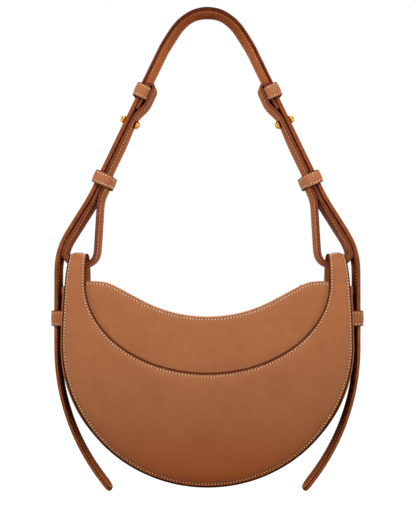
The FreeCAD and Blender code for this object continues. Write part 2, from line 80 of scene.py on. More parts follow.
# Layers of the wall, from the outside in
LAYER_GAP = 0.2
PANEL_THICKNESS, YOKE_THICKNESS = 2.6, 2.2
TAPE_THICKNESS, LINING_THICKNESS, POCKET_THICKNESS = 0.8, 1.0, 1.2
YOKE_LIFT = -PANEL_THICKNESS - LAYER_GAP
TAPE_LIFT = YOKE_LIFT - YOKE_THICKNESS - LAYER_GAP
LINING_LIFT = TAPE_LIFT - TAPE_THICKNESS - LAYER_GAP
POCKET_LIFT = LINING_LIFT - LINING_THICKNESS - LAYER_GAP


# Lines in a plane

def heading(a, b):
    long = math.dist(a, b)
    return ((b[0] - a[0]) / long, (b[1] - a[1]) / long)


def headings(line):
    """A line's direction at each of its points."""
    return [heading(a, b) for a, b in zip(line[:1] + line, line[1:] + line[-1:])]


def moved(point, direction, distance):
    return (point[0] + direction[0] * distance, point[1] + direction[1] * distance)


def flipped(point):
    return (-point[0], point[1])


def mirrored(line):
    return [flipped(point) for point in line]


def lean(angle):
    """The direction that points down and to the left, at an angle from straight down."""
    turn = math.radians(angle)
    return (-math.sin(turn), -math.cos(turn))


def crossing(p, d, q, e):
    """Where the line through p along d meets the line through q along e."""
    bottom = d[0] * e[1] - d[1] * e[0]
    return moved(p, d, ((q[0] - p[0]) * e[1] - (q[1] - p[1]) * e[0]) / bottom)


def lengths(points):
    """The length of a line up to each of its points."""
    total = [0.0]
    for a, b in zip(points, points[1:]):
        total.append(total[-1] + math.dist(a, b))
    return total


def stretch_at(total, s):
    """Which stretch of a line holds a length along it, by the point that ends it."""
    return min(max(bisect.bisect_right(total, s), 1), len(total) - 1)


def along(points, total, s):
    """The point at a length along a line, and the line's direction there."""
    k = stretch_at(total, s)
    a, b = points[k - 1], points[k]
    span = total[k] - total[k - 1]
    share = (s - total[k - 1]) / span
    return ([p + (q - p) * share for p, q in zip(a, b)], [(q - p) / span for p, q in zip(a, b)])


def resampled(points, count):
    """The same line with an even spacing of its points."""
    total = lengths(points)
    return [tuple(along(points, total, total[-1] * k / (count - 1))[0]) for k in range(count)]


def line_split(points, start, end):
    """The part of a line between two lengths along it."""
    total = lengths(points)
    inside = [p for p, s in zip(points, total) if start < s < end]
    return [tuple(along(points, total, start)[0])] + inside + [tuple(along(points, total, end)[0])]


def rounded(corners, step=1.0):
    """Points along a route of corners, each with its radius."""
    points = [corners[0][0]]
    for (before, _), (corner, radius), (after, _) in zip(corners, corners[1:], corners[2:]):
        d, e = heading(before, corner), heading(corner, after)
        half = math.acos(max(-1.0, min(1.0, d[0] * e[0] + d[1] * e[1]))) / 2
        start = moved(corner, d, -radius * math.tan(half))
        side = 1 if d[0] * e[1] - d[1] * e[0] > 0 else -1
        count = max(2, round(2 * half * radius / step))
        points.append(start)
        for k in range(1, count + 1):
            turn = 2 * half * k / count
            forward = moved(start, d, radius * math.sin(turn))
            points.append(moved(forward, (-d[1] * side, d[0] * side), radius * (1 - math.cos(turn))))
    points.append(corners[-1][0])
    return [p for p, q in zip(points, points[1:]) if math.dist(p, q) > 1e-6] + [points[-1]]


def eased(points, rounds):
    """The same line with its changes of bend softened, ends kept."""
    for _ in range(rounds):
        threes = zip(points, points[1:], points[2:])
        middle = [tuple((a + 2 * b + c) / 4 for a, b, c in zip(*three)) for three in threes]
        points = [points[0]] + middle + [points[-1]]
    return points


BEND_STEPS = 12


def bend(a, corner, b):
    """A soft corner between two points."""
    shares = [k / BEND_STEPS for k in range(BEND_STEPS + 1)]
    return [tuple((1 - t) ** 2 * p + 2 * t * (1 - t) * q + t * t * r for p, q, r in zip(a, corner, b))
            for t in shares]


def oval(across, down, z, start, end, count):
    """Points along a part of an oval about a height, between two angles counted in half turns."""
    turns = [math.pi * (start + (end - start) * k / count) for k in range(count + 1)]
    return [(across * math.cos(t), z + down * math.sin(t)) for t in turns]


def circle(count, start=0.0):
    """Directions evenly round a circle, each as a cosine and a sine."""
    turns = [2 * math.pi * (k + start) / count for k in range(count)]
    return [(math.cos(t), math.sin(t)) for t in turns]


def smooth(value, low, high):
    """0 below low, 1 above high, and smooth between them."""
    t = min(1.0, max(0.0, (value - low) / (high - low)))
    return t * t * (3 - 2 * t)


def faded(distance, reach):
    """1 at an edge and inside it, falling away over a reach past it."""
    return math.exp(-max(distance, 0.0) / reach)


# Places on the left half of the strap, on the middle of its thickness
FLANK, FLARE = lean(FLANK_LEAN), lean(FLARE_LEAN)
INWARD = (-FLANK[1], FLANK[0])
ARCH_MIDDLE = ARCH_RADIUS + STRAP_THICKNESS / 2
ARCH_TURN = math.radians(90 - FLANK_LEAN)
ARCH_END = (-ARCH_MIDDLE * math.sin(ARCH_TURN), ARCH_MIDDLE * math.cos(ARCH_TURN) - ARCH_RADIUS)
APEX = (0, ARCH_MIDDLE / math.cos(ARCH_TURN) - ARCH_RADIUS)
KNEE = moved(ARCH_END, FLANK, FLANK_LENGTH)
ANKLE = crossing(KNEE, FLARE, (-STRAP_HALF_SPAN, 0), (0, -1))
TAIL_CORNER = moved(ANKLE, (0, -1), DROP_LENGTH)
TAIL_TIP = moved(TAIL_CORNER, lean(-TAIL_LEAN), TAIL_LENGTH)

# Heights on the bag, counted from the middle of its folds
PANEL_Z = FOLD_Z - PANEL_RISE
CRESCENT_Z = FOLD_Z - CRESCENT_DROP
HORN_TAB_Z = FOLD_Z - HORN_TAB_DROP
GUSSET_TOP = FOLD_Z - GUSSET_DROP
SIDE_KEEPER_Z = FOLD_Z - SIDE_KEEPER_DROP

# The side profile widens from the fold to the belly on one arc each side
SPREAD = 2 * math.atan2(BELLY_HALF_DEPTH - FOLD_RADIUS, BELLY_DROP)
BELLY_RADIUS = FOLD_RADIUS + BELLY_DROP / math.sin(SPREAD)
BELLY_Y = (BELLY_RADIUS - FOLD_RADIUS) * math.cos(SPREAD)
BELLY_Z = FOLD_Z - BELLY_DROP
JOIN_H = FOLD_RADIUS * (math.pi / 2 - SPREAD)
JOIN_Z = FOLD_Z + FOLD_RADIUS * math.sin(SPREAD)
SIDE_ARC = ((FOLD_Z + FOLD_RADIUS + SIDE_HEADROOM - PANEL_Z) ** 2 + SIDE_INSET**2) / (2 * SIDE_INSET)


# Finishes

# Sockets of a Mix node that mixes colours
COLOUR_A, COLOUR_B, COLOUR_RESULT = 6, 7, 2


def linear(colour):
    """A colour as a screen shows it, 0 to 255, for a shader."""
    parts = [c / 255 for c in colour]
    return tuple(c / 12.92 if c <= 0.04045 else ((c + 0.055) / 1.055) ** 2.4 for c in parts) + (1.0,)


class Wire:
    """A socket of a finish's node tree. Arithmetic on wires adds Math nodes."""

    def __init__(self, tree, socket=None):
        self.tree, self.socket = tree, socket

    def node(self, kind, settings, sockets, outlet=0):
        """Adds a node, sets it up, fills or links its sockets, and gives one of its outlets."""
        made = self.tree.nodes.new("ShaderNode" + kind)
        for key, value in settings.items():
            setattr(made, key, value)
        for key, value in sockets.items():
            if isinstance(value, Wire):
                self.tree.links.new(value.socket, made.inputs[key])
            else:
                made.inputs[key].default_value = value
        return Wire(self.tree, made.outputs[outlet])

    def math(self, operation, *values):
        return self.node("Math", {"operation": operation}, dict(enumerate(values)))

    def __add__(self, other):
        return self.math("ADD", self, other)

    def __sub__(self, other):
        return self.math("SUBTRACT", self, other)

    def __rsub__(self, other):
        return self.math("SUBTRACT", other, self)

    def __mul__(self, other):
        return self.math("MULTIPLY", self, other)

    __radd__, __rmul__ = __add__, __mul__

    def between(self, low, high):
        """0 below low, 1 above high, and smooth between them."""
        settings = {"interpolation_type": "SMOOTHSTEP"}
        return self.node("MapRange", settings, {"Value": self, "From Min": low, "From Max": high})

    def mix(self, first, second):
        """The first colour where this wire is 0 and the second where it is 1: wires or screen colours."""
        first, second = [c if isinstance(c, Wire) else linear(c) for c in (first, second)]
        sockets = {0: self, COLOUR_A: first, COLOUR_B: second}
        return self.node("Mix", {"data_type": "RGBA"}, sockets, COLOUR_RESULT)

    def noise(self, scale, detail=2.0, rough=0.5):
        sockets = {"Vector": self, "Scale": scale, "Detail": detail, "Roughness": rough}
        return self.node("TexNoise", {}, sockets)

    def cells(self, scale, feature="F1"):
        return self.node("TexVoronoi", {"feature": feature}, {"Vector": self, "Scale": scale})

    def stretched(self, x, y, z):
        return self.node("VectorMath", {"operation": "MULTIPLY"}, {0: self, 1: (x, y, z)})

    def height(self):
        return self.node("VectorMath", {"operation": "DOT_PRODUCT"}, {0: self, 1: (0, 0, 1)}, 1)

    def relief(self, depth, strength):
        return self.node("Bump", {}, {"Height": self, "Distance": depth, "Strength": strength})


def finish(name, **constants):
    """The wire at a new material's object coordinates, and a function that links wires to it and gives it."""
    made = bpy.data.materials.new(name)
    made.use_nodes = True
    tree = made.node_tree
    shader = tree.nodes["Principled BSDF"].inputs
    for key, value in constants.items():
        shader[key.replace("_", " ")].default_value = value

    def paint(**wires):
        for key, wire in wires.items():
            tree.links.new(wire.socket, shader[key.replace("_", " ")])
        return made

    return Wire(tree).node("TexCoord", {}, {}, "Object"), paint


def painted_light_by_height(place, colour, painted_light_bands):
    """Painted light and shade: a colour that changes to others between depths below the strap's arch, in
    metres, by a share.
    """
    for start, end, share, other in painted_light_bands:
        colour = ((-1.0 * place.height()).between(start, end) * share).mix(colour, other)
    return colour


def calf(name, tone, deep, shine, grain, gloss, painted_light_bands=()):
    """Smooth calf leather: soft clouds of dye, pores, fine creases and a satin surface, with any bands of
    painted light and shade by height.
    """
    place, paint = finish(name, Specular_IOR_Level=gloss)
    clouds = place.noise(24, 3, 0.55)
    mottle = place.noise(190, 3, 0.6)
    pores = place.cells(1500 * grain, "DISTANCE_TO_EDGE").between(0.0, 0.16)
    creases = place.noise(2600 * grain, 3, 0.62)
    dye = clouds.between(0.30, 0.72) * 0.20 + mottle.between(0.3, 0.72) * 0.14 + creases * 0.55
    return paint(Base_Color=painted_light_by_height(place, dye.between(0.06, 0.82).mix(deep, tone), painted_light_bands),
                 Roughness=shine + mottle * 0.10 + creases * 0.06 - clouds * 0.05,
                 Normal=(pores * 0.55 + creases * 0.7).relief(0.00012, 0.32))


def painted_edge(name, tone, deep):
    """Burnished edge paint: nearly smooth, with faint ridges across the plies."""
    place, paint = finish(name, Specular_IOR_Level=0.0)
    ridges = place.stretched(1, 0.25, 1).noise(1300, 2, 0.6)
    worn = place.noise(160, 3, 0.6)
    return paint(Base_Color=(worn * 0.6 + ridges * 0.4).between(0.25, 0.75).mix(deep, tone),
                 Roughness=0.40 + worn * 0.22, Normal=ridges.relief(0.0002, 0.35))


def thread_finish(name, deep, pale, painted_light_bands):
    place, paint = finish(name, Specular_IOR_Level=0.2, Sheen_Weight=0.1)
    fibres = place.stretched(1, 1.6, 1).noise(5200, 2, 0.6)
    return paint(Base_Color=painted_light_by_height(place, fibres.between(0.3, 0.72).mix(deep, pale), painted_light_bands),
                 Roughness=0.46 + fibres * 0.2, Normal=fibres.relief(0.00012, 0.5))


# Painted shade for the inside of a hole.
def hole_shade_finish(name, deep, pale):
    place, paint = finish(name, Specular_IOR_Level=0.1)
    return paint(Base_Color=place.noise(900).mix(deep, pale), Roughness=0.8 + place.noise(700) * 0.15)


def gilt_finish(name, deep, pale):
    place, paint = finish(name, Metallic=1.0)
    smears = place.noise(420, 3, 0.6)
    return paint(Base_Color=smears.mix(deep, pale), Roughness=0.13 + smears * 0.12,
                 Normal=place.noise(2400, 2).relief(0.00004, 0.12))


def suede_finish(name, deep, pale):
    place, paint = finish(name, Specular_IOR_Level=0.15, Sheen_Weight=0.35, Sheen_Roughness=0.5)
    nap = place.noise(1500, 4, 0.7)
    brushed = place.stretched(1, 1, 0.4).noise(70, 3, 0.6)
    return paint(Base_Color=(nap * 0.5 + brushed * 0.5).between(0.3, 0.7).mix(deep, pale),
                 Roughness=0.82 + nap * 0.12, Normal=nap.relief(0.0003, 0.4))


def woven_finish(name, tone, deep, scale):
    """Woven tape or felted cloth: crossing ribs with a fibrous break-up."""
    place, paint = finish(name, Specular_IOR_Level=0.2, Sheen_Weight=0.2)
    ribs = place.stretched(1, 0.2, 1).cells(scale).between(0.1, 0.7)
    fuzz = place.noise(scale * 1.7, 3, 0.65)
    return paint(Base_Color=(ribs * 0.6 + fuzz * 0.4).mix(tone, deep), Roughness=0.75 + fuzz * 0.2,
                 Normal=(fuzz - ribs * 0.6).relief(0.0003, 0.5))


# Calf leather. Its bands are painted shade: darker and redder towards the bag's base, where the wall turns
# under.
CALF = calf("calf_leather", (186, 117, 74), (168, 102, 62), 0.48, 1.0, 0.14, [
    (0.335, 0.425, 1.0, (172, 90, 42)),
    (0.400, 0.424, 0.8, (158, 70, 26)),
])
STRAP_CALF = calf("strap_leather", (192, 110, 60), (162, 88, 46), 0.56, 0.8, 0.04)
# The straps' inner face. Its bands are painted light and shade by depth: lighter down the arch, darker lower
# on the flanks, a painted shadow of the bag by the side keepers and down the tails' tops, lighter again
# towards the tails' tips.
UNDERSIDE = calf("strap_underside", (198, 106, 58), (168, 84, 46), 0.6, 0.8, 0.0, [
    (0.008, 0.040, 1.0, (208, 121, 71)),
    (0.078, 0.095, 1.0, (170, 93, 49)),
    (0.215, 0.250, 1.0, (88, 39, 20)),
    (0.350, 0.410, 1.0, (186, 104, 58)),
])
# The crescent's underside, seen inside the horns' folds: a flesh side made brighter as painted light for the
# fold's shaded inside.
FLESH_PAINTED_LIGHT = calf("calf_flesh_side_painted_light", (246, 152, 82), (228, 136, 70), 0.7, 0.8, 0.0)
EDGE_DARK = painted_edge("dark_edge_paint", (106, 50, 34), (74, 32, 21))
EDGE_BROWN = painted_edge("brown_edge_paint", (166, 92, 50), (128, 66, 35))
# Nearly black edge paint on the crescent's outer edge, darkened partly as painted shade where it turns down
# and away; also painted shade where the loops' edges face the main strap and along the tails' inner faces.
EDGE_PAINT_AND_SHADE = painted_edge("deep_edge_paint_and_painted_shade", (84, 32, 17), (50, 16, 8))
LOOP_EDGE = painted_edge("loop_edge_paint", (140, 78, 56), (112, 58, 40))
EDGE_RUST = painted_edge("rust_edge_paint", (112, 54, 35), (82, 36, 23))
# A lighter copy of the brown edge paint: painted light on the tails' lit edges.
LIT_EDGE_PAINT = painted_edge("edge_paint_painted_light", (188, 104, 56), (150, 78, 41))
# Waxed thread. Its bands are painted shade: the thread turns more golden towards the base, as the leather
# darkens there.
THREAD = thread_finish("waxed_thread", (236, 194, 150), (254, 234, 202), [
    (0.275, 0.345, 1.0, (244, 196, 142)),
    (0.36, 0.42, 1.0, (248, 178, 112)),
])
# Golden thread. Its bands are painted shade: dark by the side keepers as the bag's shadow, lighter again down
# the tails.
STRAP_THREAD = thread_finish("golden_thread", (226, 168, 106), (250, 206, 148), [
    (0.230, 0.250, 1.0, (128, 70, 38)),
    (0.335, 0.390, 1.0, (230, 178, 126)),
])
HOLE_SHADE = hole_shade_finish("pricked_hole_painted_shade", (48, 19, 9), (70, 31, 15))
GILT = gilt_finish("gilt_metal", (188, 118, 48), (214, 150, 74))
GILT_TEETH = gilt_finish("gilt_teeth", (146, 89, 27), (168, 115, 45))
GILT_DEEP = gilt_finish("gilt_in_shade", (122, 68, 26), (146, 88, 38))
SUEDE = suede_finish("suede_lining", (150, 104, 70), (190, 146, 106))
TAPE = woven_finish("zip_tape_weave", (116, 70, 42), (82, 46, 27), 1300)
FELT = woven_finish("wadding_felt", (226, 216, 196), (198, 186, 164), 800)
BOARD = woven_finish("fibre_board", (132, 112, 92), (104, 86, 70), 500)


# Meshes

class Piece:
    """Vertices and faces of one piece, in millimetres, with a finish for each face."""

    def __init__(self, name, *finishes):
        self.name, self.finishes = name, finishes
        self.points, self.faces, self.paint = [], [], []

    def add(self, points):
        first = len(self.points)
        self.points.extend(points)
        return list(range(first, len(self.points)))

    def face(self, corners, finish=None):
        """A face in one of the piece's finishes, or else in its first."""
        self.faces.append(corners)
        self.paint.append(self.finishes.index(finish) if finish else 0)

    def rows(self, first, second, finish=None):
        """Quads between two closed rows of vertices, with one finish or a list of them."""
        for i in range(len(first)):
            j = (i + 1) % len(first)
            quad = (first[i], first[j], second[j], second[i])
            self.face(quad, finish[i] if isinstance(finish, list) else finish)

    def tube(self, rings, paint=lambda i, k: None, closed=False):
        """Quads along rings of points, with a cap at each end unless the tube closes on itself."""
        rows = [self.add(ring) for ring in rings]
        for i, (a, b) in enumerate(zip(rows, rows[1:] + (rows[:1] if closed else []))):
            self.rows(a, b, [paint(i, k) for k in range(len(a))])
        if not closed:
            self.face(rows[0][::-1], paint(0, 0))
            self.face(rows[-1], paint(len(rows) - 2, 0))

    def mesh(self):
        mesh = bpy.data.meshes.new(self.name)
        mesh.from_pydata([[c * MM for c in p] for p in self.points], [], self.faces)
        for material in self.finishes:
            mesh.materials.append(material)
        mesh.polygons.foreach_set("material_index", self.paint)
        mesh.polygons.foreach_set("use_smooth", [True] * len(self.faces))
        solid = bmesh.new()
        solid.from_mesh(mesh)
        bmesh.ops.recalc_face_normals(solid, faces=solid.faces)
        solid.to_mesh(mesh)
        solid.free()
        return mesh

    def make(self, body, slot, *nodes):
        """The piece as an object that rides on a body in place of CAD nodes, or stays where it is made when
        given two bodies.
        """
        made = placed(self.name, self.mesh())
        if nodes:
            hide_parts(*nodes)
        if isinstance(body, str):
            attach(made, body)
        else:
            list(body)
            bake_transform(made)
        return made


def placed(name, data):
    """A new object in the scene."""
    made = bpy.data.objects.new(name, data)
    bpy.context.collection.objects.link(made)
    return made


def sweep(piece, frames, section, paint=lambda i, k: None, closed=False):
    """A section carried along frames of a spot, a direction across and a direction up."""
    rings = []
    for i, (spot, across, up) in enumerate(frames):
        rings.append([spot + across * u + up * n for u, n in section(i)])
    piece.tube(rings, paint, closed)


# Stitching

STITCH_PITCH, STITCH_HALF_SHARE, STITCH_SLANT = 2.75, 0.29, 0.16
STITCH_HALF_WIDTH, STITCH_HALF_HEIGHT, STITCH_RISE, STITCH_DIVE = 0.55, 0.36, 0.20, 0.40
THREAD_SIDES, HOLE_SIDES = 6, 8
STITCH_SWELLS = ((-1, 0.35), (-0.72, 0.85), (-0.2, 1.0), (0.2, 1.0), (0.72, 0.85), (1, 0.35))
HOLE_HALF_LENGTH, HOLE_HALF_WIDTH = 0.74, 0.62
HOLE_CROWN, HOLE_RIM, HOLE_FLOOR = 0.07, -0.06, -0.3


def seam_frame(line, spots, total, s):
    """The spot at a length along a line of points with normals, with its direction and normal there."""
    spot, direction = along(spots, total, s)
    k = stretch_at(total, s)
    normal = (Vector(line[k - 1][1]) + Vector(line[k][1])).normalized()
    direction = Vector(direction)
    return Vector(spot), (direction - normal * direction.dot(normal)).normalized(), normal


class Sewing:
    """Stitches and the holes between them, gathered into one piece."""

    def __init__(self, name, thread=THREAD):
        self.piece = Piece(name, thread, HOLE_SHADE)

    def sew(self, line, pitch=STITCH_PITCH, thread=1.0):
        """Stitches along a line of points with outward normals, by a share of the full thread."""
        spots = [Vector(p) for p, _ in line]
        total = lengths(spots)
        count = max(1, round(total[-1] / pitch))
        step = total[-1] / count
        for k in range(count + 1):
            self.hole(*seam_frame(line, spots, total, min(k * step, total[-1])), thread)
            if k < count:
                self.stitch(*seam_frame(line, spots, total, (k + 0.5) * step), step, thread)

    def stitch(self, spot, direction, normal, step, thread):
        """A short length of thread, a little aslant, whose ends dive into the leather."""
        direction = (direction + normal.cross(direction) * STITCH_SLANT).normalized()
        side = normal.cross(direction)
        rings = []
        for share, swell in STITCH_SWELLS:
            rise = (STITCH_RISE - STITCH_DIVE * share**4) * thread
            middle = spot + direction * (share * step * STITCH_HALF_SHARE) + normal * rise
            wide, high = STITCH_HALF_WIDTH * swell * thread, STITCH_HALF_HEIGHT * swell * thread
            rings.append([middle + side * (u * wide) + normal * (v * high) for u, v in circle(THREAD_SIDES)])
        self.piece.tube(rings)

    def hole(self, spot, direction, normal, thread):
        """A lens in the leather, dark with painted shade, at an awl's hole or a punched one."""
        side = normal.cross(direction)
        long, wide = HOLE_HALF_LENGTH * thread, HOLE_HALF_WIDTH * thread
        middle = spot + normal * HOLE_RIM
        rim = [middle + direction * (u * long) + side * (v * wide) for u, v in circle(HOLE_SIDES)]
        ring = self.piece.add(rim)
        top, low = self.piece.add([spot + normal * HOLE_CROWN, spot + normal * HOLE_FLOOR])
        for i, corner in enumerate(ring):
            after = ring[(i + 1) % len(ring)]
            self.piece.face((corner, after, top), HOLE_SHADE)
            self.piece.face((after, corner, low), HOLE_SHADE)

    def make(self, body, slot):
        return self.piece.make(body, slot)


# The bag's wall

def wall(x, h, lift):
    """A point on the wall. h runs down the front from the fold's crest, or down the back below 0."""
    side, run = (-1 if h >= 0 else 1), abs(h)
    if run <= JOIN_H:
        turn, radius = run / FOLD_RADIUS, FOLD_RADIUS + lift
        return Vector((x, side * radius * math.sin(turn), FOLD_Z + radius * math.cos(turn)))
    turn, radius = SPREAD - (run - JOIN_H) / BELLY_RADIUS, BELLY_RADIUS + lift
    return Vector((x, side * (radius * math.cos(turn) - BELLY_Y), BELLY_Z + radius * math.sin(turn)))


def facing(x, h):
    """The wall's outward normal."""
    return (wall(x, h, 1.0) - wall(x, h, 0.0)).normalized()


def run_of(z):
    """How far down the front a height is, along the wall."""
    if z >= JOIN_Z:
        return FOLD_RADIUS * math.acos(min(1.0, (z - FOLD_Z) / FOLD_RADIUS))
    return JOIN_H + BELLY_RADIUS * (SPREAD - math.asin((z - BELLY_Z) / BELLY_RADIUS))


def height_of(h):
    return wall(0.0, h, 0.0).z


def half_depth(z):
    return -wall(0.0, run_of(z), 0.0).y


def on_front(line):
    return [(x, run_of(z)) for x, z in line]


def on_back(line):
    return [(x, -run_of(z)) for x, z in line]


def half_width(z):
    """Half the bag's front width at a height."""
    if z < PANEL_Z:
        return math.sqrt(max(0.0, PANEL_RADIUS**2 - (z - PANEL_Z) ** 2))
    return PANEL_RADIUS - SIDE_ARC + math.sqrt(SIDE_ARC**2 - (z - PANEL_Z) ** 2)


def window(z, growth=0.0):
    """Half the width between the crescent's horns at a height."""
    if z >= CRESCENT_Z:
        return CRESCENT_HALF_WIDTH + growth
    share = (z - CRESCENT_Z) / (CRESCENT_DEPTH + growth)
    return (CRESCENT_HALF_WIDTH + growth) * math.sqrt(max(0.0, 1 - share * share))


def past_edge(x, z):
    """Distances from the crescent's outer edge and from its inner edge, in the front view."""
    if z < PANEL_Z:
        outer = PANEL_RADIUS - math.hypot(x, z - PANEL_Z)
    else:
        outer = half_width(z) - abs(x)
    if z >= CRESCENT_Z:
        return outer, abs(x) - CRESCENT_HALF_WIDTH
    u, v = x / CRESCENT_HALF_WIDTH, (z - CRESCENT_Z) / CRESCENT_DEPTH
    reach = math.hypot(u, v)
    slope = math.hypot(u / CRESCENT_HALF_WIDTH, v / CRESCENT_DEPTH) / max(reach, 1e-6)
    return outer, (reach - 1) / max(slope, 1e-6)


# Panels laid on the wall. A grid is the counts of steps along a long and a short side of an outline.

def ring_of(sides, grid):
    """A closed outline from two long and two short sides, evenly spaced along each."""
    ring = []
    for side, count in zip(sides, grid + grid):
        ring += resampled(side, count + 1)[:-1]
    return ring


def inset(ring, distance, widths=None):
    """A closed anticlockwise outline moved inwards, by a share of the distance at each point."""
    result = []
    for i, point in enumerate(ring):
        before, after = heading(ring[i - 1], point), heading(point, ring[(i + 1) % len(ring)])
        normal = (-(before[1] + after[1]), before[0] + after[0])
        long = math.hypot(*normal)
        share = widths[i] if widths else 1.0
        result.append(moved(point, (normal[0] / long, normal[1] / long), distance * share))
    return result


def patch(ring, grid, fade):
    """Rows of points inside an outline that starts at a corner. A high fade keeps the ends' shape local."""
    long, short = grid
    a = ring[:long + 1]
    b = ring[long:long + short + 1]
    c = ring[long + short:2 * long + short + 1][::-1]
    d = (ring[2 * long + short:] + ring[:1])[::-1]

    def inner(i, j, n):
        u, v = i / long, j / short
        start = d[j][n] - (1 - v) * a[0][n] - v * c[0][n]
        end = b[j][n] - (1 - v) * a[long][n] - v * c[long][n]
        return (1 - v) * a[i][n] + v * c[i][n] + (1 - u) ** fade * start + u**fade * end

    return [[(inner(i, j, 0), inner(i, j, 1)) for i in range(1, long)] for j in range(1, short)]


# A leather edge: its thickness, the seam's distance from it, the depths of the groove and of the stitches,
# and the swell past them
Edge = namedtuple("Edge", "thickness seam groove sink roll")
FULL_FACE = 6.0


def leather_rim(edge):
    """Rings of a leather panel from back to face: distance from the edge, lift, and if painted."""
    low, groove = -edge.thickness, -edge.groove
    shares = [
        (0.46, low, 0), (0.20, low + 0.12, 1), (0.05, low + 0.55, 1), (0.0, low * 0.5, 1), (0.035, -0.85, 1),
        (0.15, -0.46, 1), (0.34, -0.18, 1), (0.56, -0.04, 1), (0.64, 0.0, 0), (0.73, -0.03, 0),
        (0.86, groove * 0.65, 0), (1.0, groove, 0),
    ]
    past = [(0.4, groove * 0.7), (0.9, -0.05), (1.8, edge.roll * 0.4)]
    rings = [(FULL_FACE, low, 0)] + [(share * edge.seam, lift, paint) for share, lift, paint in shares]
    return rings + [(edge.seam + step, lift, 0) for step, lift in past] + [(FULL_FACE, edge.roll, 0)]


def cloth_rim(thickness, reach):
    """Rings of a thin cloth or felt with a soft edge, from its back to its face."""
    low = -thickness
    rings = [(1, low), (0.25, low * 0.94), (0.0, low / 2), (0.25, low * 0.06), (1, 0.0)]
    return [(reach * share, lift, 0) for share, lift in rings]


def plain(x, h):
    return 0.0


def panel(piece, outline, grid, rim, base, crown=plain, fade=1, widths=None, edge=None, under=None):
    """A panel laid on the wall: rounded edges along its outline, then its back and its face."""
    long, short = grid

    def lay(points, lift):
        return piece.add([wall(x, h, base + lift + crown(x, h)) for x, h in points])

    rows = [lay(inset(outline, distance, widths), lift) for distance, lift, _ in rim]
    side = under
    for k in range(len(rows) - 1):
        painted = rim[k][2] and rim[k + 1][2]
        side = None if painted else side
        piece.rows(rows[k], rows[k + 1], edge if painted else side)
    for row, (distance, lift, _), back in ((rows[0], rim[0], True), (rows[-1], rim[-1], False)):
        full = [row[:long + 1]]
        for j, points in enumerate(patch(inset(outline, distance, widths), grid, fade)):
            full.append([row[-1 - j]] + lay(points, lift) + [row[long + 1 + j]])
        full.append(row[long + short:2 * long + short + 1][::-1])
        for upper, lower in zip(full, full[1:]):
            for i in range(long):
                corners = (upper[i], upper[i + 1], lower[i + 1], lower[i])
                piece.face(corners[::-1] if back else corners, under if back else None)


def seam(outline, edge, base, crown, part=slice(None), widths=None):
    """A panel's seam, all round or in part, as points with normals for its stitches."""
    line = inset(outline, edge.seam, widths)
    line = (line + line[:1])[part]
    return [(wall(x, h, base - edge.sink + crown(x, h)), facing(x, h)) for x, h in line]


def flat_size(ring):
    """Width, length and area of an outline as it is cut, in metres."""
    xs, hs = [x for x, _ in ring], [h for _, h in ring]
    area = sum(a[0] * b[1] - b[0] * a[1] for a, b in zip(ring, ring[1:] + ring[:1])) / 2
    return ((max(xs) - min(xs)) * MM, (max(hs) - min(hs)) * MM), abs(area) * MM * MM


# Outlines of the body, seen from the front

CORNER_REACH = 9.0
BEND_HALF = BEND_STEPS // 2
MOUTH_POINTS = 241
HALF_MOON_STEPS, HALF_MOON_SHARE = (60, 160), 0.3


def mouth_line(half, drop=0.0):
    """The dipped top edge of the front and the back, from the left to the right."""
    turn = math.acos(1 - MOUTH_ARC_SHARE * MOUTH_DIP / MOUTH_RADIUS)
    shoulder = MOUTH_RADIUS * math.sin(turn) + (1 - MOUTH_ARC_SHARE) * MOUTH_DIP / math.tan(turn)
    flat = MOUTH_FLAT_Z - drop
    dip = flat - MOUTH_DIP - MOUTH_RADIUS * (1 / math.cos(turn) - 1)
    corners = [((-half, flat), 0), ((-shoulder, flat), MOUTH_CORNER), ((0, dip), MOUTH_RADIUS),
               ((shoulder, flat), MOUTH_CORNER), ((half, flat), 0)]
    return resampled(rounded(corners), MOUTH_POINTS)


def hoop(top, trim, side_steps, base_steps):
    """The bag's edge, trimmed, from the right top round the base to the left top."""
    heights = [top + (PANEL_Z - top) * k / side_steps for k in range(side_steps)]
    side = [(half_width(z) - trim, z) for z in heights]
    radius = PANEL_RADIUS - trim
    return side + oval(radius, radius, PANEL_Z, 0, -1, base_steps) + mirrored(side)[::-1]


def four_sides(top, below, corner, share):
    """An outline as four sides: a mouth line and the curve below it, with soft corners between them."""
    flat = line_split(top, CORNER_REACH, lengths(top)[-1] - CORNER_REACH)
    curve = line_split(below, CORNER_REACH, lengths(below)[-1] - CORNER_REACH)
    right = bend(flat[-1], corner, curve[0])
    left = bend(curve[-1], flipped(corner), flat[0])
    span = lengths(curve)[-1]
    first, last = span * share, span * (1 - share)
    return [left[BEND_HALF:] + flat[1:-1] + right[:BEND_HALF + 1],
            right[BEND_HALF:] + line_split(curve, 0, first)[1:],
            line_split(curve, first, last),
            line_split(curve, last, span)[:-1] + left[:BEND_HALF + 1]]


def half_moon_sides(trim, drop):
    """The bag's outline below its mouth, trimmed all round."""
    top = MOUTH_FLAT_Z - drop
    edge = half_width(top) - trim
    below = hoop(top, trim, *HALF_MOON_STEPS)
    return four_sides(mouth_line(edge, drop), below, (edge, top), HALF_MOON_SHARE)


def on_wall(sides, side):
    """Sides of an outline laid on the front, or on the back, where the way round is the other one."""
    if side == "front":
        return [on_front(line) for line in sides]
    return [on_back(sides[k][::-1]) for k in (0, 3, 2, 1)]


# Crescent panel, with its horns folded over to the back

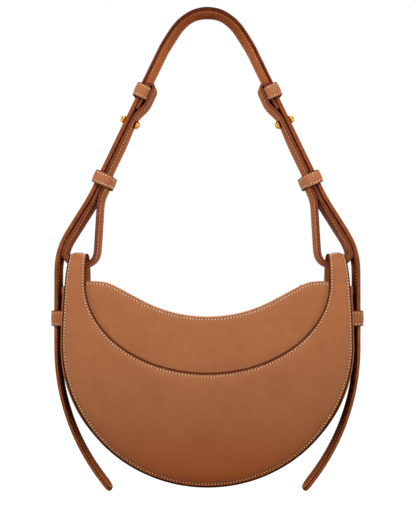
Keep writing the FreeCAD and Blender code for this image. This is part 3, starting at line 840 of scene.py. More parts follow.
HORN_STEPS, BASE_STEPS, TIP_STEPS = 116, 110, 18
CRESCENT_GRID = (2 * (HORN_STEPS + BASE_STEPS), TIP_STEPS)
CRESCENT_EDGE = Edge(PANEL_THICKNESS, 2.8, 0.50, 0.40, 0.5)
HORN_TIP_RADIUS = 9.0
HORN_FADE = 40
PAD_START, PAD_REACH, ROLL_START, ROLL_REACH = 2.6, 5.5, 1.0, 4.0
HORN_SPAN, HORN_SWELL, HORN_ROLL, HORN_ROLL_REACH = (JOIN_H, JOIN_H + 30), 0.8, 1.5, 11.0
PROUD, PROUD_BELOW_FOLD, PROUD_AT_BASE = 0.3, 0.95, 0.45
BELOW_FOLD_SPAN, BASE_SPAN = (214.0, 238.0), (335.0, 400.0)
OUTER_SEAM, OUTER_SEAM_GAIN, OUTER_SEAM_SPAN = 0.76, 0.54, (run_of(-285.0), run_of(-375.0))
INNER_SEAM, INNER_SEAM_GAIN, INNER_SEAM_SPAN = 0.92, 0.2, (run_of(-250.0), run_of(-317.0))
SEAM_BLUR = range(-5, 6)


def crescent_outline(stop, trim, growth=0.0):
    """The crescent, with both horns up to a stop along the wall, and its outer edge's inset by height."""
    outer, inner = [], []
    across, deep = CRESCENT_HALF_WIDTH + growth, CRESCENT_DEPTH + growth
    for k in range(BASE_STEPS):
        turn = math.pi * (1.5 - 0.5 * k / BASE_STEPS)
        cx, cz = math.cos(turn), math.sin(turn)
        radius = PANEL_RADIUS - trim(PANEL_Z + PANEL_RADIUS * cz)
        outer.append((radius * cx, run_of(PANEL_Z + radius * cz)))
        a = (cx / across) ** 2 + (cz / deep) ** 2
        b = cz * (PANEL_Z - CRESCENT_Z) / deep**2
        c = ((PANEL_Z - CRESCENT_Z) / deep) ** 2 - 1
        reach = (-b + math.sqrt(b * b - a * c)) / a
        inner.append((reach * cx, run_of(PANEL_Z + reach * cz)))
    start = run_of(PANEL_Z)
    for k in range(HORN_STEPS + 1):
        h = start + (stop - start) * k / HORN_STEPS
        z = height_of(h)
        outer.append((trim(z) - half_width(z), h))
        inner.append((-window(z, growth), h))
    (xo, _), (xi, _) = outer[-1], inner[-1]
    middle, radius = (xo + xi) / 2, (xi - xo) / 2
    tip = [(middle + x, h) for x, h in oval(radius, radius, stop, -1, 0, TIP_STEPS)]
    left = outer[:-1] + tip[:-1] + inner[:0:-1]
    right = mirrored(inner)[:-1] + mirrored(tip)[:0:-1]
    return mirrored(outer)[:0:-1] + left + right


def crescent_crown(x, h):
    """How the padded crescent stands off: full below its inner seam, rolled in at its outer edge."""
    outer, inner = past_edge(x, height_of(h))
    horn = smooth(h, *HORN_SPAN)
    full = (1 - faded(inner - PAD_START, PAD_REACH)) * (1 - faded(outer - ROLL_START, ROLL_REACH))
    return (1 + HORN_SWELL * horn) * full - HORN_ROLL * horn * faded(outer, HORN_ROLL_REACH)


def proud_edge(z):
    """The crescent stands a little proud of the gusset, most round the base, so its inset is negative."""
    return -PROUD - PROUD_BELOW_FOLD * smooth(-z, *BELOW_FOLD_SPAN) - PROUD_AT_BASE * smooth(-z, *BASE_SPAN)


def seam_widths(ring):
    """Shares of the seam's distance from the edge: it is wider round the base, and changes gently."""
    shares = []
    for i, (_, h) in enumerate(ring):
        if i <= CRESCENT_GRID[0]:
            shares.append(OUTER_SEAM + OUTER_SEAM_GAIN * smooth(h, *OUTER_SEAM_SPAN))
        else:
            shares.append(INNER_SEAM + INNER_SEAM_GAIN * smooth(h, *INNER_SEAM_SPAN))
    count = len(shares)
    return [sum(shares[(i + j) % count] for j in SEAM_BLUR) / len(SEAM_BLUR) for i in range(count)]


bag_thread = Sewing("bag_stitching")
crescent_ring = crescent_outline(HORN_TIP_RADIUS - run_of(HORN_TAB_Z), proud_edge)
crescent_widths = seam_widths(crescent_ring)
crescent_paint = [EDGE_PAINT_AND_SHADE if i <= CRESCENT_GRID[0] else EDGE_RUST for i in range(len(crescent_ring))]
crescent = Piece("crescent_panel", CALF, EDGE_PAINT_AND_SHADE, EDGE_RUST, FLESH_PAINTED_LIGHT)
panel(crescent, crescent_ring, CRESCENT_GRID, leather_rim(CRESCENT_EDGE), 0.0, crescent_crown, HORN_FADE,
      crescent_widths, crescent_paint, FLESH_PAINTED_LIGHT)
crescent.make("bag", "leather", "front_crescent_panel")
bag_thread.sew(seam(crescent_ring, CRESCENT_EDGE, 0.0, crescent_crown, widths=crescent_widths))


# Yoke panel, inside the crescent and below the mouth

YOKE_GRID = (220, 60)
YOKE_EDGE = Edge(YOKE_THICKNESS, 2.6, 0.30, 0.24, 0.15)
YOKE_SEAM_PART = slice(8, 213)
YOKE_OVERLAP, YOKE_SWELL = 10.0, 0.7
YOKE_ARC, YOKE_ARC_STEPS, YOKE_SHARE = (-0.012, -0.988), 200, 0.28


def yoke_crown(x, h):
    """The yoke lies flat along the mouth and swells a little towards the crescent."""
    return YOKE_SWELL * smooth(h, run_of(MOUTH_FLAT_Z - MOUTH_DIP), run_of(CRESCENT_Z - CRESCENT_DEPTH))


def yoke_sides():
    half = CRESCENT_HALF_WIDTH + YOKE_OVERLAP
    below = oval(half, CRESCENT_DEPTH + YOKE_OVERLAP, CRESCENT_Z, *YOKE_ARC, YOKE_ARC_STEPS)
    return four_sides(mouth_line(half), below, (half, MOUTH_FLAT_Z), YOKE_SHARE)


yoke_ring = ring_of(on_wall(yoke_sides(), "front"), YOKE_GRID)
yoke = Piece("yoke_panel", CALF)
panel(yoke, yoke_ring, YOKE_GRID, leather_rim(YOKE_EDGE), YOKE_LIFT, yoke_crown)
yoke.make("bag", "leather", "front_yoke_panel")
bag_thread.sew(seam(yoke_ring, YOKE_EDGE, YOKE_LIFT, yoke_crown, YOKE_SEAM_PART))


# Back panel

BACK_GRID = (240, 90)
BACK_SWELL, BACK_REACH, BACK_SPAN = 1.4, 9.0, (JOIN_H + 20, JOIN_H + 90)
BACK_EDGE = Edge(YOKE_THICKNESS, 3.2, 0.24, 0.19, 0.15)


def back_crown(x, h):
    """The back swells a little below its mouth."""
    outer, _ = past_edge(x, height_of(h))
    return BACK_SWELL * (1 - faded(outer - ROLL_START, BACK_REACH)) * smooth(-h, *BACK_SPAN)


back_ring = ring_of(on_wall(half_moon_sides(0.0, BACK_DROP), "back"), BACK_GRID)
back = Piece("back_panel_leather", CALF, EDGE_DARK)
panel(back, back_ring, BACK_GRID, leather_rim(BACK_EDGE), YOKE_LIFT, back_crown, edge=EDGE_DARK)
back.make("bag", "leather", "back_panel")
bag_thread.sew(seam(back_ring, BACK_EDGE, YOKE_LIFT, back_crown))
bag_thread.make("bag", "leather")


# Gusset and its lining

GUSSET_SIDE_STEPS, GUSSET_BASE_STEPS = 40, 180
GUSSET_POINTS, GUSSET_LINING_POINTS = 300, 240
GUSSET_SINK, GUSSET_INSET, GUSSET_THICKNESS, GUSSET_ROUND = 1.0, 3.6, 2.0, 2.4
GUSSET_FULLNESS, GUSSET_STEPS = 4.4, 18
GUSSET_INNER_SHARE, HEM_INNER_SHARE = 0.985, 0.2
HEM_RISE, HEM_SPAN, HEM_ROUND, HEM_ROUND_SPAN = 0.8, (7.4, 8.2), 0.9, (0.0, 1.2)
LINING_TRIM, LINING_SIDE_INSET, LINING_STEPS = 4.7, 5.6, 12


def hoop_frames(trim, count):
    """Frames along the bag's edge, trimmed, from the left top to the right top, and the lengths to them."""
    line = resampled(mirrored(hoop(GUSSET_TOP, trim, GUSSET_SIDE_STEPS, GUSSET_BASE_STEPS)), count)
    ups = [Vector((d[1], 0, -d[0])) for d in headings(line)]
    return [(Vector((x, 0, z)), ACROSS, up) for (x, z), up in zip(line, ups)], lengths(line)


def gusset_bulge(x, z):
    """How far the gusset stands out in its middle, least under the base."""
    if z >= PANEL_Z:
        return GUSSET_BULGE + GUSSET_SINK
    level = abs(x) / math.hypot(x, z - PANEL_Z)
    fuller = GUSSET_FULLNESS * level**3 * math.sqrt(1 - level**2)
    return GUSSET_BASE_BULGE + (GUSSET_BULGE - GUSSET_BASE_BULGE) * level**2 + fuller + GUSSET_SINK


def gusset_hem(left):
    """How much thicker the gusset is at a distance from its end, where it is turned over."""
    return HEM_RISE * (1 - smooth(left, *HEM_SPAN)) - HEM_ROUND * (1 - smooth(left, *HEM_ROUND_SPAN))


def gusset_section(half, bulge, hem):
    shares = [-1 + 2 * k / GUSSET_STEPS for k in range(GUSSET_STEPS + 1)]
    bow = [bulge * (1 - abs(t) ** GUSSET_ROUND) for t in shares]
    outside = [(half * t, n + hem) for t, n in zip(shares, bow)]
    low = GUSSET_THICKNESS + hem * HEM_INNER_SHARE
    inside = [(half * t * GUSSET_INNER_SHARE, n - low) for t, n in zip(shares, bow)]
    return outside + inside[::-1]


def gusset():
    edge, total = hoop_frames(0.0, GUSSET_POINTS)
    frames, sections = [], []
    for (spot, across, up), s in zip(edge, total):
        frames.append((spot - up * GUSSET_SINK, across, up))
        half, hem = half_depth(spot.z) - GUSSET_INSET, gusset_hem(min(s, total[-1] - s))
        sections.append(gusset_section(half, gusset_bulge(spot.x, spot.z), hem))
    strip = Piece("gusset_strip", CALF)
    sweep(strip, frames, lambda i: sections[i])
    strip.make("bag", "leather", "gusset")


def gusset_lining():
    frames, total = hoop_frames(LINING_TRIM, GUSSET_LINING_POINTS)
    halves = [half_depth(spot.z) - LINING_SIDE_INSET for spot, _, _ in frames]

    def section(i):
        shares = [2 * k / LINING_STEPS - 1 for k in range(LINING_STEPS + 1)]
        face = [(halves[i] * t, LINING_THICKNESS / 2) for t in shares]
        return face + [(u, -n) for u, n in face[::-1]]

    cloth = Piece("gusset_lining_cloth", SUEDE)
    sweep(cloth, frames, section)
    area = sum((halves[i] + halves[i + 1]) * (total[i + 1] - total[i]) for i in range(len(frames) - 1))
    cloth.make("bag", "lining", "gusset_lining")
    total[-1] * MM
    area * MM * MM


gusset()


# Straps

STRAP_SEAM, STRAP_PITCH, STRAP_STITCH_SINK = 3.1, 3.0, 0.18
THICK_THREAD, THIN_THREAD = 1.05, 0.75
EDGE_SEGMENTS, PALE_SEGMENTS = 4, 2
PUNCH_SIZE = 3.8
ARCH_TOP_HALF, TWIST_HOLD = 16.0, 0.4

# Heights below the arch between which the straps' turn about their length changes, and the turns in degrees
ARCH_SPAN, KEEPER_SPAN, STUD_SPAN = (-3.0, 20.0), (62.0, 84.0), (92.0, 122.0)
FOLD_SPAN, SIDE_SPAN = (205.0, 224.0), (246.0, 263.0)
ARCH_TWIST, SHOULDER_TWIST = 5.0, 11.0
STUD_TWIST, FLANK_TWIST = 2.5, 6.0
SIDE_TWIST = 4.0


def on_flank(place, offset):
    """A spot down the left flank, offset inwards from the middle of the main strap."""
    return moved(moved(ARCH_END, FLANK, place), INWARD, offset)


def low_twist(z):
    return STUD_TWIST + (FLANK_TWIST - STUD_TWIST) * smooth(-z, *STUD_SPAN)


def flank_twist(z):
    """How far the main strap turns its inner face to the front at a height, in radians."""
    below, gone = smooth(-z, *KEEPER_SPAN), smooth(-z, *FOLD_SPAN)
    upper = (ARCH_TWIST + (SHOULDER_TWIST - ARCH_TWIST) * smooth(-z, *ARCH_SPAN)) * (1 - below)
    middle = low_twist(z) * below * (1 - gone)
    return math.radians(upper + middle + SIDE_TWIST * gone * (1 - smooth(-z, *SIDE_SPAN)))


def loop_twist(z):
    """The loop straps turn less beside the upper keeper."""
    return min(flank_twist(z), math.radians(low_twist(z)))


def no_twist(z):
    return 0.0


def twisted(x, z, up, twist):
    """A spot of a twisted strap's middle line, with the directions across it and up from it."""
    inward = Vector((-INWARD[0] * max(-1.0, min(1.0, x / ARCH_TOP_HALF)), 0, INWARD[1])).normalized()
    full = twist(z)
    turn = full * up.dot(inward)
    hold = TWIST_HOLD + (1 - TWIST_HOLD) * smooth(-z, *KEEPER_SPAN)
    held = hold * STRAP_WIDTH / 2 * math.sin(full)
    return (Vector((x, 0, z)) + inward * held, ACROSS * math.cos(turn) + up * math.sin(turn),
            up * math.cos(turn) - ACROSS * math.sin(turn))


def strap_frames(line, twist):
    """Frames along a strap's middle line, with up to the left of its travel."""
    ups = [Vector((-d[1], 0, d[0])) for d in headings(line)]
    return [twisted(x, z, up, twist) for (x, z), up in zip(line, ups)]


def strap_section(half, thick):
    """A closed section of a two-ply strap with burnished edges and a sunk seam near each."""
    a, s, full = thick / 2, STRAP_SEAM, STRAP_WIDTH / 2
    edge = [(0.0, 0.0), (0.01, 0.30 * a), (0.07, 0.62 * a), (0.24, 0.85 * a), (0.6, 0.97 * a)]
    face = [(1.6, a), (s - 0.75, a), (s - 0.35, a - 0.14), (s, a - 0.24), (s + 0.35, a - 0.14), (s + 0.8, a),
            (full, a + 0.12)]
    points = [(half - d * min(1.0, half / 3), n) for d, n in edge]
    points += [(half - d * half / full, n) for d, n in face]
    upper = points + [(-u, n) for u, n in points[-2::-1]]
    return upper + [(u, -n) for u, n in upper[-2:0:-1]]


FULL_SECTION = strap_section(STRAP_WIDTH / 2, STRAP_THICKNESS)
LOOP_SECTION = strap_section(STRAP_WIDTH / 2, LOOP_THICKNESS)
SECTION_POINTS = len(FULL_SECTION)
FACE_POINTS = SECTION_POINTS // 2


def edge_place(k):
    """How many segments a segment of a section is from its nearer edge, and if it is on the upper half."""
    upper = k < FACE_POINTS
    place = k if upper else SECTION_POINTS - 1 - k
    return min(place, FACE_POINTS - 1 - place), upper


def sew_strap(sewing, frames, thick, face, part=slice(None)):
    """Both seams of a strap on one face, along a part of it. The front seam has the thicker thread."""
    half, rise = STRAP_WIDTH / 2 - STRAP_SEAM, face * (thick / 2 - STRAP_STITCH_SINK)
    for side, thread in ((half, THIN_THREAD), (-half, THICK_THREAD)):
        line = [(spot + across * side + up * rise, up * face) for spot, across, up in frames[part]]
        sewing.sew(line, STRAP_PITCH, thread)


def punch(sewing, frames, place, thick):
    """A spare hole through a strap near a place, with painted shade on both faces."""
    goal = Vector((place[0], 0, place[1]))
    spot, across, up = min(frames[1:-1], key=lambda one: (one[0] - goal).length)
    for face in (1, -1):
        sewing.hole(spot + up * (face * thick / 2), across, up * face, PUNCH_SIZE)


# Main strap from one side keeper, over the arch, to the other

MAIN_POINTS, MAIN_EASING, ARCH_EASING = 470, 24, 6
ARCH_NARROWING, NARROW_START, NARROW_END = 1.8, (-3.0, 6.0), (14.0, 34.0)
STRAP_END_DEPTH = 1.0
ARCH_SEAM_Z, SIDE_SEAM_Z, ARCH_TOP_Z = -60.0, -196.0, -10.0
HANDLE_TO_BAG = ("handle", "bag", (0, 0, -0.212), (0, 0, -0.250))


def narrowed(x, z):
    """The arch's sides lean in a little more than a circle's."""
    share = smooth(-z, *NARROW_START) * (1 - smooth(-z, *NARROW_END))
    return x - math.copysign(ARCH_NARROWING * share, x), z


def main_line():
    end = (-STRAP_HALF_SPAN, SIDE_KEEPER_Z - STRAP_END_DEPTH)
    left = [(APEX, ARCH_MIDDLE), (KNEE, KNEE_RADIUS), (ANKLE, ANKLE_RADIUS), (end, 0)]
    route = [(flipped(p), radius) for p, radius in left[:0:-1]] + left
    line = eased(resampled(rounded(route), MAIN_POINTS), MAIN_EASING)
    return eased([narrowed(x, z) for x, z in line], ARCH_EASING)


def main_paint(line):
    """A dark inner edge above the upper keepers, dark all through on the arch, and brown edges elsewhere."""
    total = lengths(line)
    reach = ARCH_MIDDLE * ARCH_TURN + UPPER_KEEPER_PLACE

    def paint(i, k):
        place, upper = edge_place(k)
        if place >= EDGE_SEGMENTS:
            return UNDERSIDE if upper else STRAP_CALF
        high = abs(total[i] - total[-1] / 2) < reach
        inner = upper or place == 0
        return EDGE_DARK if high and (inner or line[i][1] > ARCH_TOP_Z) else EDGE_BROWN

    return paint


def main_strap():
    line = main_line()
    frames = strap_frames(line, flank_twist)
    strap = Piece("shoulder_strap", STRAP_CALF, EDGE_DARK, EDGE_BROWN, UNDERSIDE)
    sweep(strap, frames, lambda i: FULL_SECTION, main_paint(line))
    strap.make(HANDLE_TO_BAG, "strap_leather", "main_strap", "left_strap_run", "right_strap_run")
    thread = Sewing("shoulder_strap_stitching", STRAP_THREAD)
    arch = [i for i, (_, z) in enumerate(line) if z > ARCH_SEAM_Z]
    side = min(i for i, (x, z) in enumerate(line) if z < SIDE_SEAM_Z and x < 0)
    sew_strap(thread, frames, STRAP_THICKNESS, -1)
    for part in (slice(arch[0], arch[-1]), slice(side, None), slice(0, len(line) - side)):
        sew_strap(thread, frames, STRAP_THICKNESS, 1, part)
    spare = on_flank(STUD_PLACE + STUD_PITCH, 0)
    for place in (spare, flipped(spare)):
        punch(thread, frames, place, STRAP_THICKNESS)
    thread.make(HANDLE_TO_BAG, "strap_leather")


main_strap()


# Loop straps, by places down the flank

LOOP_FLOOR, LOOP_TURN = -224.9, 13.2
LOOP_OUTSIDE_GAP, LOOP_INSIDE_GAP = 5.9, 6.7
LOOP_START, LOOP_ENTRY, STEP_START, STEP_END = 143.5, 158.0, 147.5, 136.0
RISE_START, RISE_END, CREST_LEAD = 78.5, 65.8, 2.9
LOOP_END, LOOP_END_LEG = 72.5, 3.4
ENTRY_RADIUS, STEP_RADIUS, RISE_RADIUS, CREST_RADIUS = 30.0, 20.0, 26.0, 2.6
LOOP_ROUTE_STEP, LOOP_SPACING, LOOP_EASING = 0.5, 0.8, 6
INNER_SEAM_Z, OUTER_SEAM_Z, HORN_SEAM_Z, HORN_MARGIN = -158.0, -196.0, -205.0, 4.0

# The right loop's spare hole is hidden in its lower keeper
SPARE_HOLES = {"left": STUD_PLACE + STUD_PITCH, "right": LOOP_START}


def loop_line():
    """The left loop: down beside the main strap, through the horn's fold, up, and over the upper keeper."""
    outside = half_width(FOLD_Z + FOLD_RADIUS) + LOOP_OUTSIDE_GAP
    inside = CRESCENT_HALF_WIDTH - LOOP_INSIDE_GAP
    crest = UPPER_KEEPER_PLACE - UPPER_KEEPER_HEIGHT / 2 - CREST_LEAD
    knee = crossing(on_flank(0, INNER_LEG), FLANK, moved(KNEE, (-FLARE[1], FLARE[0]), INNER_LEG), FLARE)
    corners = [
        (on_flank(LOOP_START, INNER_LEG), 0),
        (knee, KNEE_RADIUS),
        (crossing(knee, FLARE, (-outside, 0), (0, -1)), ENTRY_RADIUS),
        ((-outside, LOOP_FLOOR), LOOP_TURN),
        ((-inside, LOOP_FLOOR), LOOP_TURN),
        (on_flank(LOOP_ENTRY, OUTER_LEG), ENTRY_RADIUS),
        (on_flank(STEP_START, OUTER_LEG), STEP_RADIUS),
        (on_flank(STEP_END, INNER_LEG), STEP_RADIUS),
        (on_flank(RISE_START, INNER_LEG), RISE_RADIUS),
        (on_flank(RISE_END, CREST_LEG), RISE_RADIUS),
        (on_flank(crest, CREST_LEG), CREST_RADIUS),
        (on_flank(crest, INNER_LEG), CREST_RADIUS),
        (on_flank(LOOP_END, LOOP_END_LEG), 0),
    ]
    line = rounded(corners, LOOP_ROUTE_STEP)
    return eased(resampled(line, round(lengths(line)[-1] / LOOP_SPACING)), LOOP_EASING)


def loop_paint(frames):
    """Painted edges, nearly black with painted shade where they face the main strap."""
    def paint(i, k):
        place, upper = edge_place(k)
        if place >= EDGE_SEGMENTS:
            return STRAP_CALF
        spot, _, up = frames[i]
        outward = (spot.x * up.x > 0) == upper
        # painted shade: the edge's half next to the gap to the main strap is nearly black
        return EDGE_PAINT_AND_SHADE if outward and place >= PALE_SEGMENTS else LOOP_EDGE

    return paint


def under_horn(x, z):
    """Whether a spot of a loop is under the horn's fold, where its stitches are left out."""
    return z < HORN_SEAM_Z and window(FOLD_Z) - HORN_MARGIN < abs(x) < half_width(FOLD_Z) + HORN_MARGIN


def loop_strap(side):
    line = loop_line() if side == "left" else mirrored(loop_line())
    frames = strap_frames(line, loop_twist)
    strap = Piece(f"{side}_loop_leather", STRAP_CALF, LOOP_EDGE, EDGE_PAINT_AND_SHADE)
    sweep(strap, frames, lambda i: LOOP_SECTION, loop_paint(frames))
    strap.make("handle", "strap_leather", f"{side}_loop_strap")
    thread = Sewing(f"{side}_loop_stitching", STRAP_THREAD)
    inner = 1 if side == "left" else -1
    low = [i for i, (_, z) in enumerate(line) if z < INNER_SEAM_Z]
    free = [i for i, (_, z) in enumerate(line) if z < OUTER_SEAM_Z]
    crest = max(range(len(line)), key=lambda i: line[i][1])
    hidden = [i for i, (x, z) in enumerate(line) if under_horn(x, z)]
    for face, first, last in ((inner, low[0], low[-1]), (-inner, free[0], crest)):
        sew_strap(thread, frames, LOOP_THICKNESS, face, slice(first, hidden[0]))
        sew_strap(thread, frames, LOOP_THICKNESS, face, slice(hidden[-1] + 1, last))
    spare = on_flank(SPARE_HOLES[side], INNER_LEG)
    punch(thread, frames, spare if side == "left" else flipped(spare), LOOP_THICKNESS)
    thread.make("handle", "strap_leather")


for side in ("left", "right"):
    loop_strap(side)


# Hanging tails, from inside the side keepers to their tongue-shaped tips

TAIL_START, TAIL_POINTS, TAIL_EASING = 3.0, 190, 10
TIP_THINNING, TIP_THICKNESS_SHARE, TONGUE_STEPS = 1.2, 0.25, 10
TAIL_BEND = (0, 0, -0.2765), (0, 0, -0.2885)


def tail_line():
    start = (-STRAP_HALF_SPAN, SIDE_KEEPER_Z + TAIL_START)
    corners = [(start, 0), (TAIL_CORNER, TAIL_BEND_RADIUS), (TAIL_TIP, 0)]
    return eased(resampled(rounded(corners), TAIL_POINTS), TAIL_EASING)


def tail_section(left):
    """A tail's section at a distance from its end, narrower and thinner round the tip."""
    half = STRAP_WIDTH / 2
    if left < TIP_RADIUS:
        half -= TIP_RADIUS - math.sqrt(max(0.0, TIP_RADIUS**2 - (TIP_RADIUS - left) ** 2))
    share = TIP_THICKNESS_SHARE + (1 - TIP_THICKNESS_SHARE) * math.sqrt(min(1.0, left / TIP_THINNING))
    return strap_section(half, STRAP_THICKNESS * share)


def tail_paint(flip):
    """A lighter edge, with painted light, and painted shade as a dark line along the inner face."""
    def paint(i, k):
        place, upper = edge_place(k)
        inner = upper != flip
        if place >= EDGE_SEGMENTS:
            return UNDERSIDE if inner else STRAP_CALF
        return EDGE_PAINT_AND_SHADE if inner and place >= PALE_SEGMENTS else LIT_EDGE_PAINT

    return paint


def tongue(frames, total, face):
    """The seam of a tail: down one side, round the tip and up the other."""
    half, bow, stop = STRAP_WIDTH / 2, TIP_RADIUS - STRAP_SEAM, total[-1] - TIP_RADIUS
    route = [(s, half - STRAP_SEAM) for s in total if s < stop]
    route += [(stop + s, half - TIP_RADIUS + u) for s, u in oval(bow, bow, 0, 0.5, 0, TONGUE_STEPS)]
    route += [(s, -u) for s, u in route[::-1]]
    spots = [spot for spot, _, _ in frames]
    line = []
    for s, u in route:
        spot, _ = along(spots, total, s)
        _, across, up = frames[min(bisect.bisect_left(total, s), len(frames) - 1)]
        rise = face * (STRAP_THICKNESS / 2 - STRAP_STITCH_SINK)
        line.append((Vector(spot) + across * u + up * rise, up * face))
    return line


def tail(side):
    line = tail_line() if side == "left" else mirrored(tail_line())
    frames, total = strap_frames(line, no_twist), lengths(line)
    body = ("bag", f"{side}_tail", *TAIL_BEND)
    strap = Piece(f"{side}_tail_leather", STRAP_CALF, LIT_EDGE_PAINT, UNDERSIDE, EDGE_PAINT_AND_SHADE)
    sweep(strap, frames, lambda i: tail_section(total[-1] - total[i]), tail_paint(side == "right"))
    strap.make(body, "strap_leather", f"{side}_strap_tail")
    thread = Sewing(f"{side}_tail_stitching", STRAP_THREAD)
    for face in (1, -1):
        thread.sew(tongue(frames, total, face), STRAP_PITCH, THICK_THREAD)
    thread.make(body, "strap_leather")


for side in ("left", "right"):
    tail(side)


# Keepers

KEEPER_PITCH, KEEPER_SEAM, KEEPER_STITCH_SINK, KEEPER_TAPER = 2.6, 2.2, 0.10, 1.5
KEEPER_UPRIGHT, KEEPER_CORNER, INNER_GAP, SIDE_GAP = 2.5, 4.6, 0.6, 0.3
KEEPER_ROUTE_STEP, KEEPER_SPACING = 0.4, 0.9
UPPER_INNER_FACE, UPPER_SLACK = 5.5, 2.5
LOWER_INNER_FACE, LOWER_SLACK = 8.9, 1.9
SIDE_KEEPER_FOOT, SIDE_KEEPER_REACH, SIDE_KEEPER_HALF, SIDE_KEEPER_CORNER = 126.8, 137.0, 12.2, 3.2
BAND_EDGE_SEGMENTS = 3


def band_section(height, thick):
    """Section of a keeper's band: burnished edges and a sunk seam near each."""
    a, half, s = thick / 2, height / 2, KEEPER_SEAM
    rim = [(0.0, 0.0), (0.06, 0.5 * a), (0.28, 0.82 * a), (0.7, 0.98 * a), (1.2, a), (s - 0.45, a - 0.06),
           (s, a - 0.16), (s + 0.45, a - 0.06), (s + 1.1, a + 0.05), (half, a + 0.18)]
    upper = [(half - d, n) for d, n in rim] + [(d - half, n) for d, n in rim[-2::-1]]
    return upper + [(u, -min(n, a)) for u, n in upper[-2:0:-1]]


BAND_FACE = len(band_section(LOWER_KEEPER_HEIGHT, KEEPER_WALL)) // 2


def band_paint(i, k):
    place = k % BAND_FACE
    return EDGE_DARK if min(place, BAND_FACE - 1 - place) < BAND_EDGE_SEGMENTS else CALF


def band(name, node, body, path, down, height, thick, closed=False, taper=KEEPER_TAPER):
    """A stitched band of leather along a path, with its height along one direction, less at its sides."""
    before = path[-1:] + path[:-1] if closed else path[:1] + path[:-1]
    after = path[1:] + path[:1] if closed else path[1:] + path[-1:]
    frames = [(spot, down, (b - a).normalized().cross(down).normalized())
              for spot, a, b in zip(path, before, after)]
    heights = [height - taper * (1 - abs(up.y)) ** 1.5 for _, _, up in frames]
    piece = Piece(f"{node}_{name}", CALF, EDGE_DARK)
    sweep(piece, frames, lambda i: band_section(heights[i], thick), band_paint, closed)
    thread = Sewing(f"{node}_stitching")
    for side in (1, -1):
        line = [(spot + down * (side * (tall / 2 - KEEPER_SEAM)) + up * (thick / 2 - KEEPER_STITCH_SINK), up)
                for (spot, _, up), tall in zip(frames, heights)]
        thread.sew(line + line[:1] if closed else line, KEEPER_PITCH, THIN_THREAD)
    piece.make(body, "leather", node)
    thread.make(body, "leather")


def spaced(corners, radius):
    """Even points along a keeper's rounded route."""
    line = rounded([(corner, radius) for corner in corners], KEEPER_ROUTE_STEP)
    return resampled(line, round(lengths(line)[-1] / KEEPER_SPACING))


def strap_keeper(side, name, body, place, height, thick, inner_face, slack):
    """A keeper round a strap's layers, loose on the outside by a slack."""
    near, far = -STRAP_THICKNESS / 2 - slack - thick / 2, inner_face + INNER_GAP + thick / 2
    half, start = STRAP_WIDTH / 2 + SIDE_GAP + thick / 2, (near + far) / 2
    route = [(start, -half), (far, -half), (far, half), (near, half), (near, -half), (start, -half)]
    line = spaced(route, KEEPER_CORNER)[:-1]
    sign = 1 if side == "left" else -1
    x, z = on_flank(place, 0)
    slope = lean(FLANK_LEAN - KEEPER_UPRIGHT)
    middle, across, up = twisted(sign * x, z, Vector((sign * -slope[1], 0, slope[0])), flank_twist)
    path = [middle + up * n + across * u for n, u in line]
    down = Vector((sign * slope[0], 0, slope[1]))
    band("band", f"{side}_{name}", body, path[::-1] if sign > 0 else path, down, height, thick, closed=True)


def side_keeper(side):
    """A keeper sewn to the gusset, round the hanging strap."""
    near, far, half = SIDE_KEEPER_FOOT, SIDE_KEEPER_REACH, SIDE_KEEPER_HALF
    line = spaced([(near, -half), (far, -half), (far, half), (near, half)], SIDE_KEEPER_CORNER)
    if side == "left":
        path = [Vector((-n, u, SIDE_KEEPER_Z)) for n, u in line]
    else:
        path = [Vector((n, u, SIDE_KEEPER_Z)) for n, u in line[::-1]]
    band("band", f"{side}_side_keeper", "bag", path, Vector((0, 0, -1)), SIDE_KEEPER_HEIGHT, KEEPER_WALL)


# Studs: radius and rise of a turned head from the top of its dome down, and of the shank's end

STUD_TOP = 5.5
STUD_PROFILE = [(1.0, 5.42), (2.0, 5.12), (2.8, 4.6), (3.4, 3.8), (3.72, 2.8), (3.72, 1.9), (3.4, 1.2),
                (2.7, 0.75), (1.95, 0.55), (1.7, 0.0), (1.15, -0.4)]
SHANK_RADIUS, SHANK_TIP_RADIUS, SHANK_TIP = 1.1, 0.7, 0.3
POST_SHANK, CAP_SHANK, CAP_GAP = 5.0, 1.5, 0.3
STUD_SIDES, STUD_SHADE_RING = 32, 5


def stud(side, name, body, offset, inward, shank):
    """A turned stud head with a domed top, on the outer or the inner face of the straps, and its shank."""
    sign = 1 if side == "left" else -1
    x, z = on_flank(STUD_PLACE, offset)
    foot = Vector((sign * x, 0, z))
    axis = Vector((sign * INWARD[0], 0, INWARD[1])) * inward
    third = axis.cross(ACROSS)
    piece = Piece(f"{side}_{name}_turning", GILT, GILT_DEEP)
    rows = []
    for radius, rise in STUD_PROFILE + [(SHANK_RADIUS, -shank), (SHANK_TIP_RADIUS, -shank - SHANK_TIP)]:
        middle = foot + axis * rise
        ring = [middle + ACROSS * (radius * u) + third * (radius * v) for u, v in circle(STUD_SIDES)]
        rows.append(piece.add(ring))
    for i, (a, b) in enumerate(zip(rows, rows[1:])):
        piece.rows(a, b, GILT_DEEP if i >= STUD_SHADE_RING else GILT)
    top = piece.add([foot + axis * STUD_TOP])[0]
    for k in range(STUD_SIDES):
        piece.face((top, rows[0][(k + 1) % STUD_SIDES], rows[0][k]))
    piece.face(rows[-1], GILT_DEEP)
    piece.make(body, "gilt_metal", f"{side}_{name}")


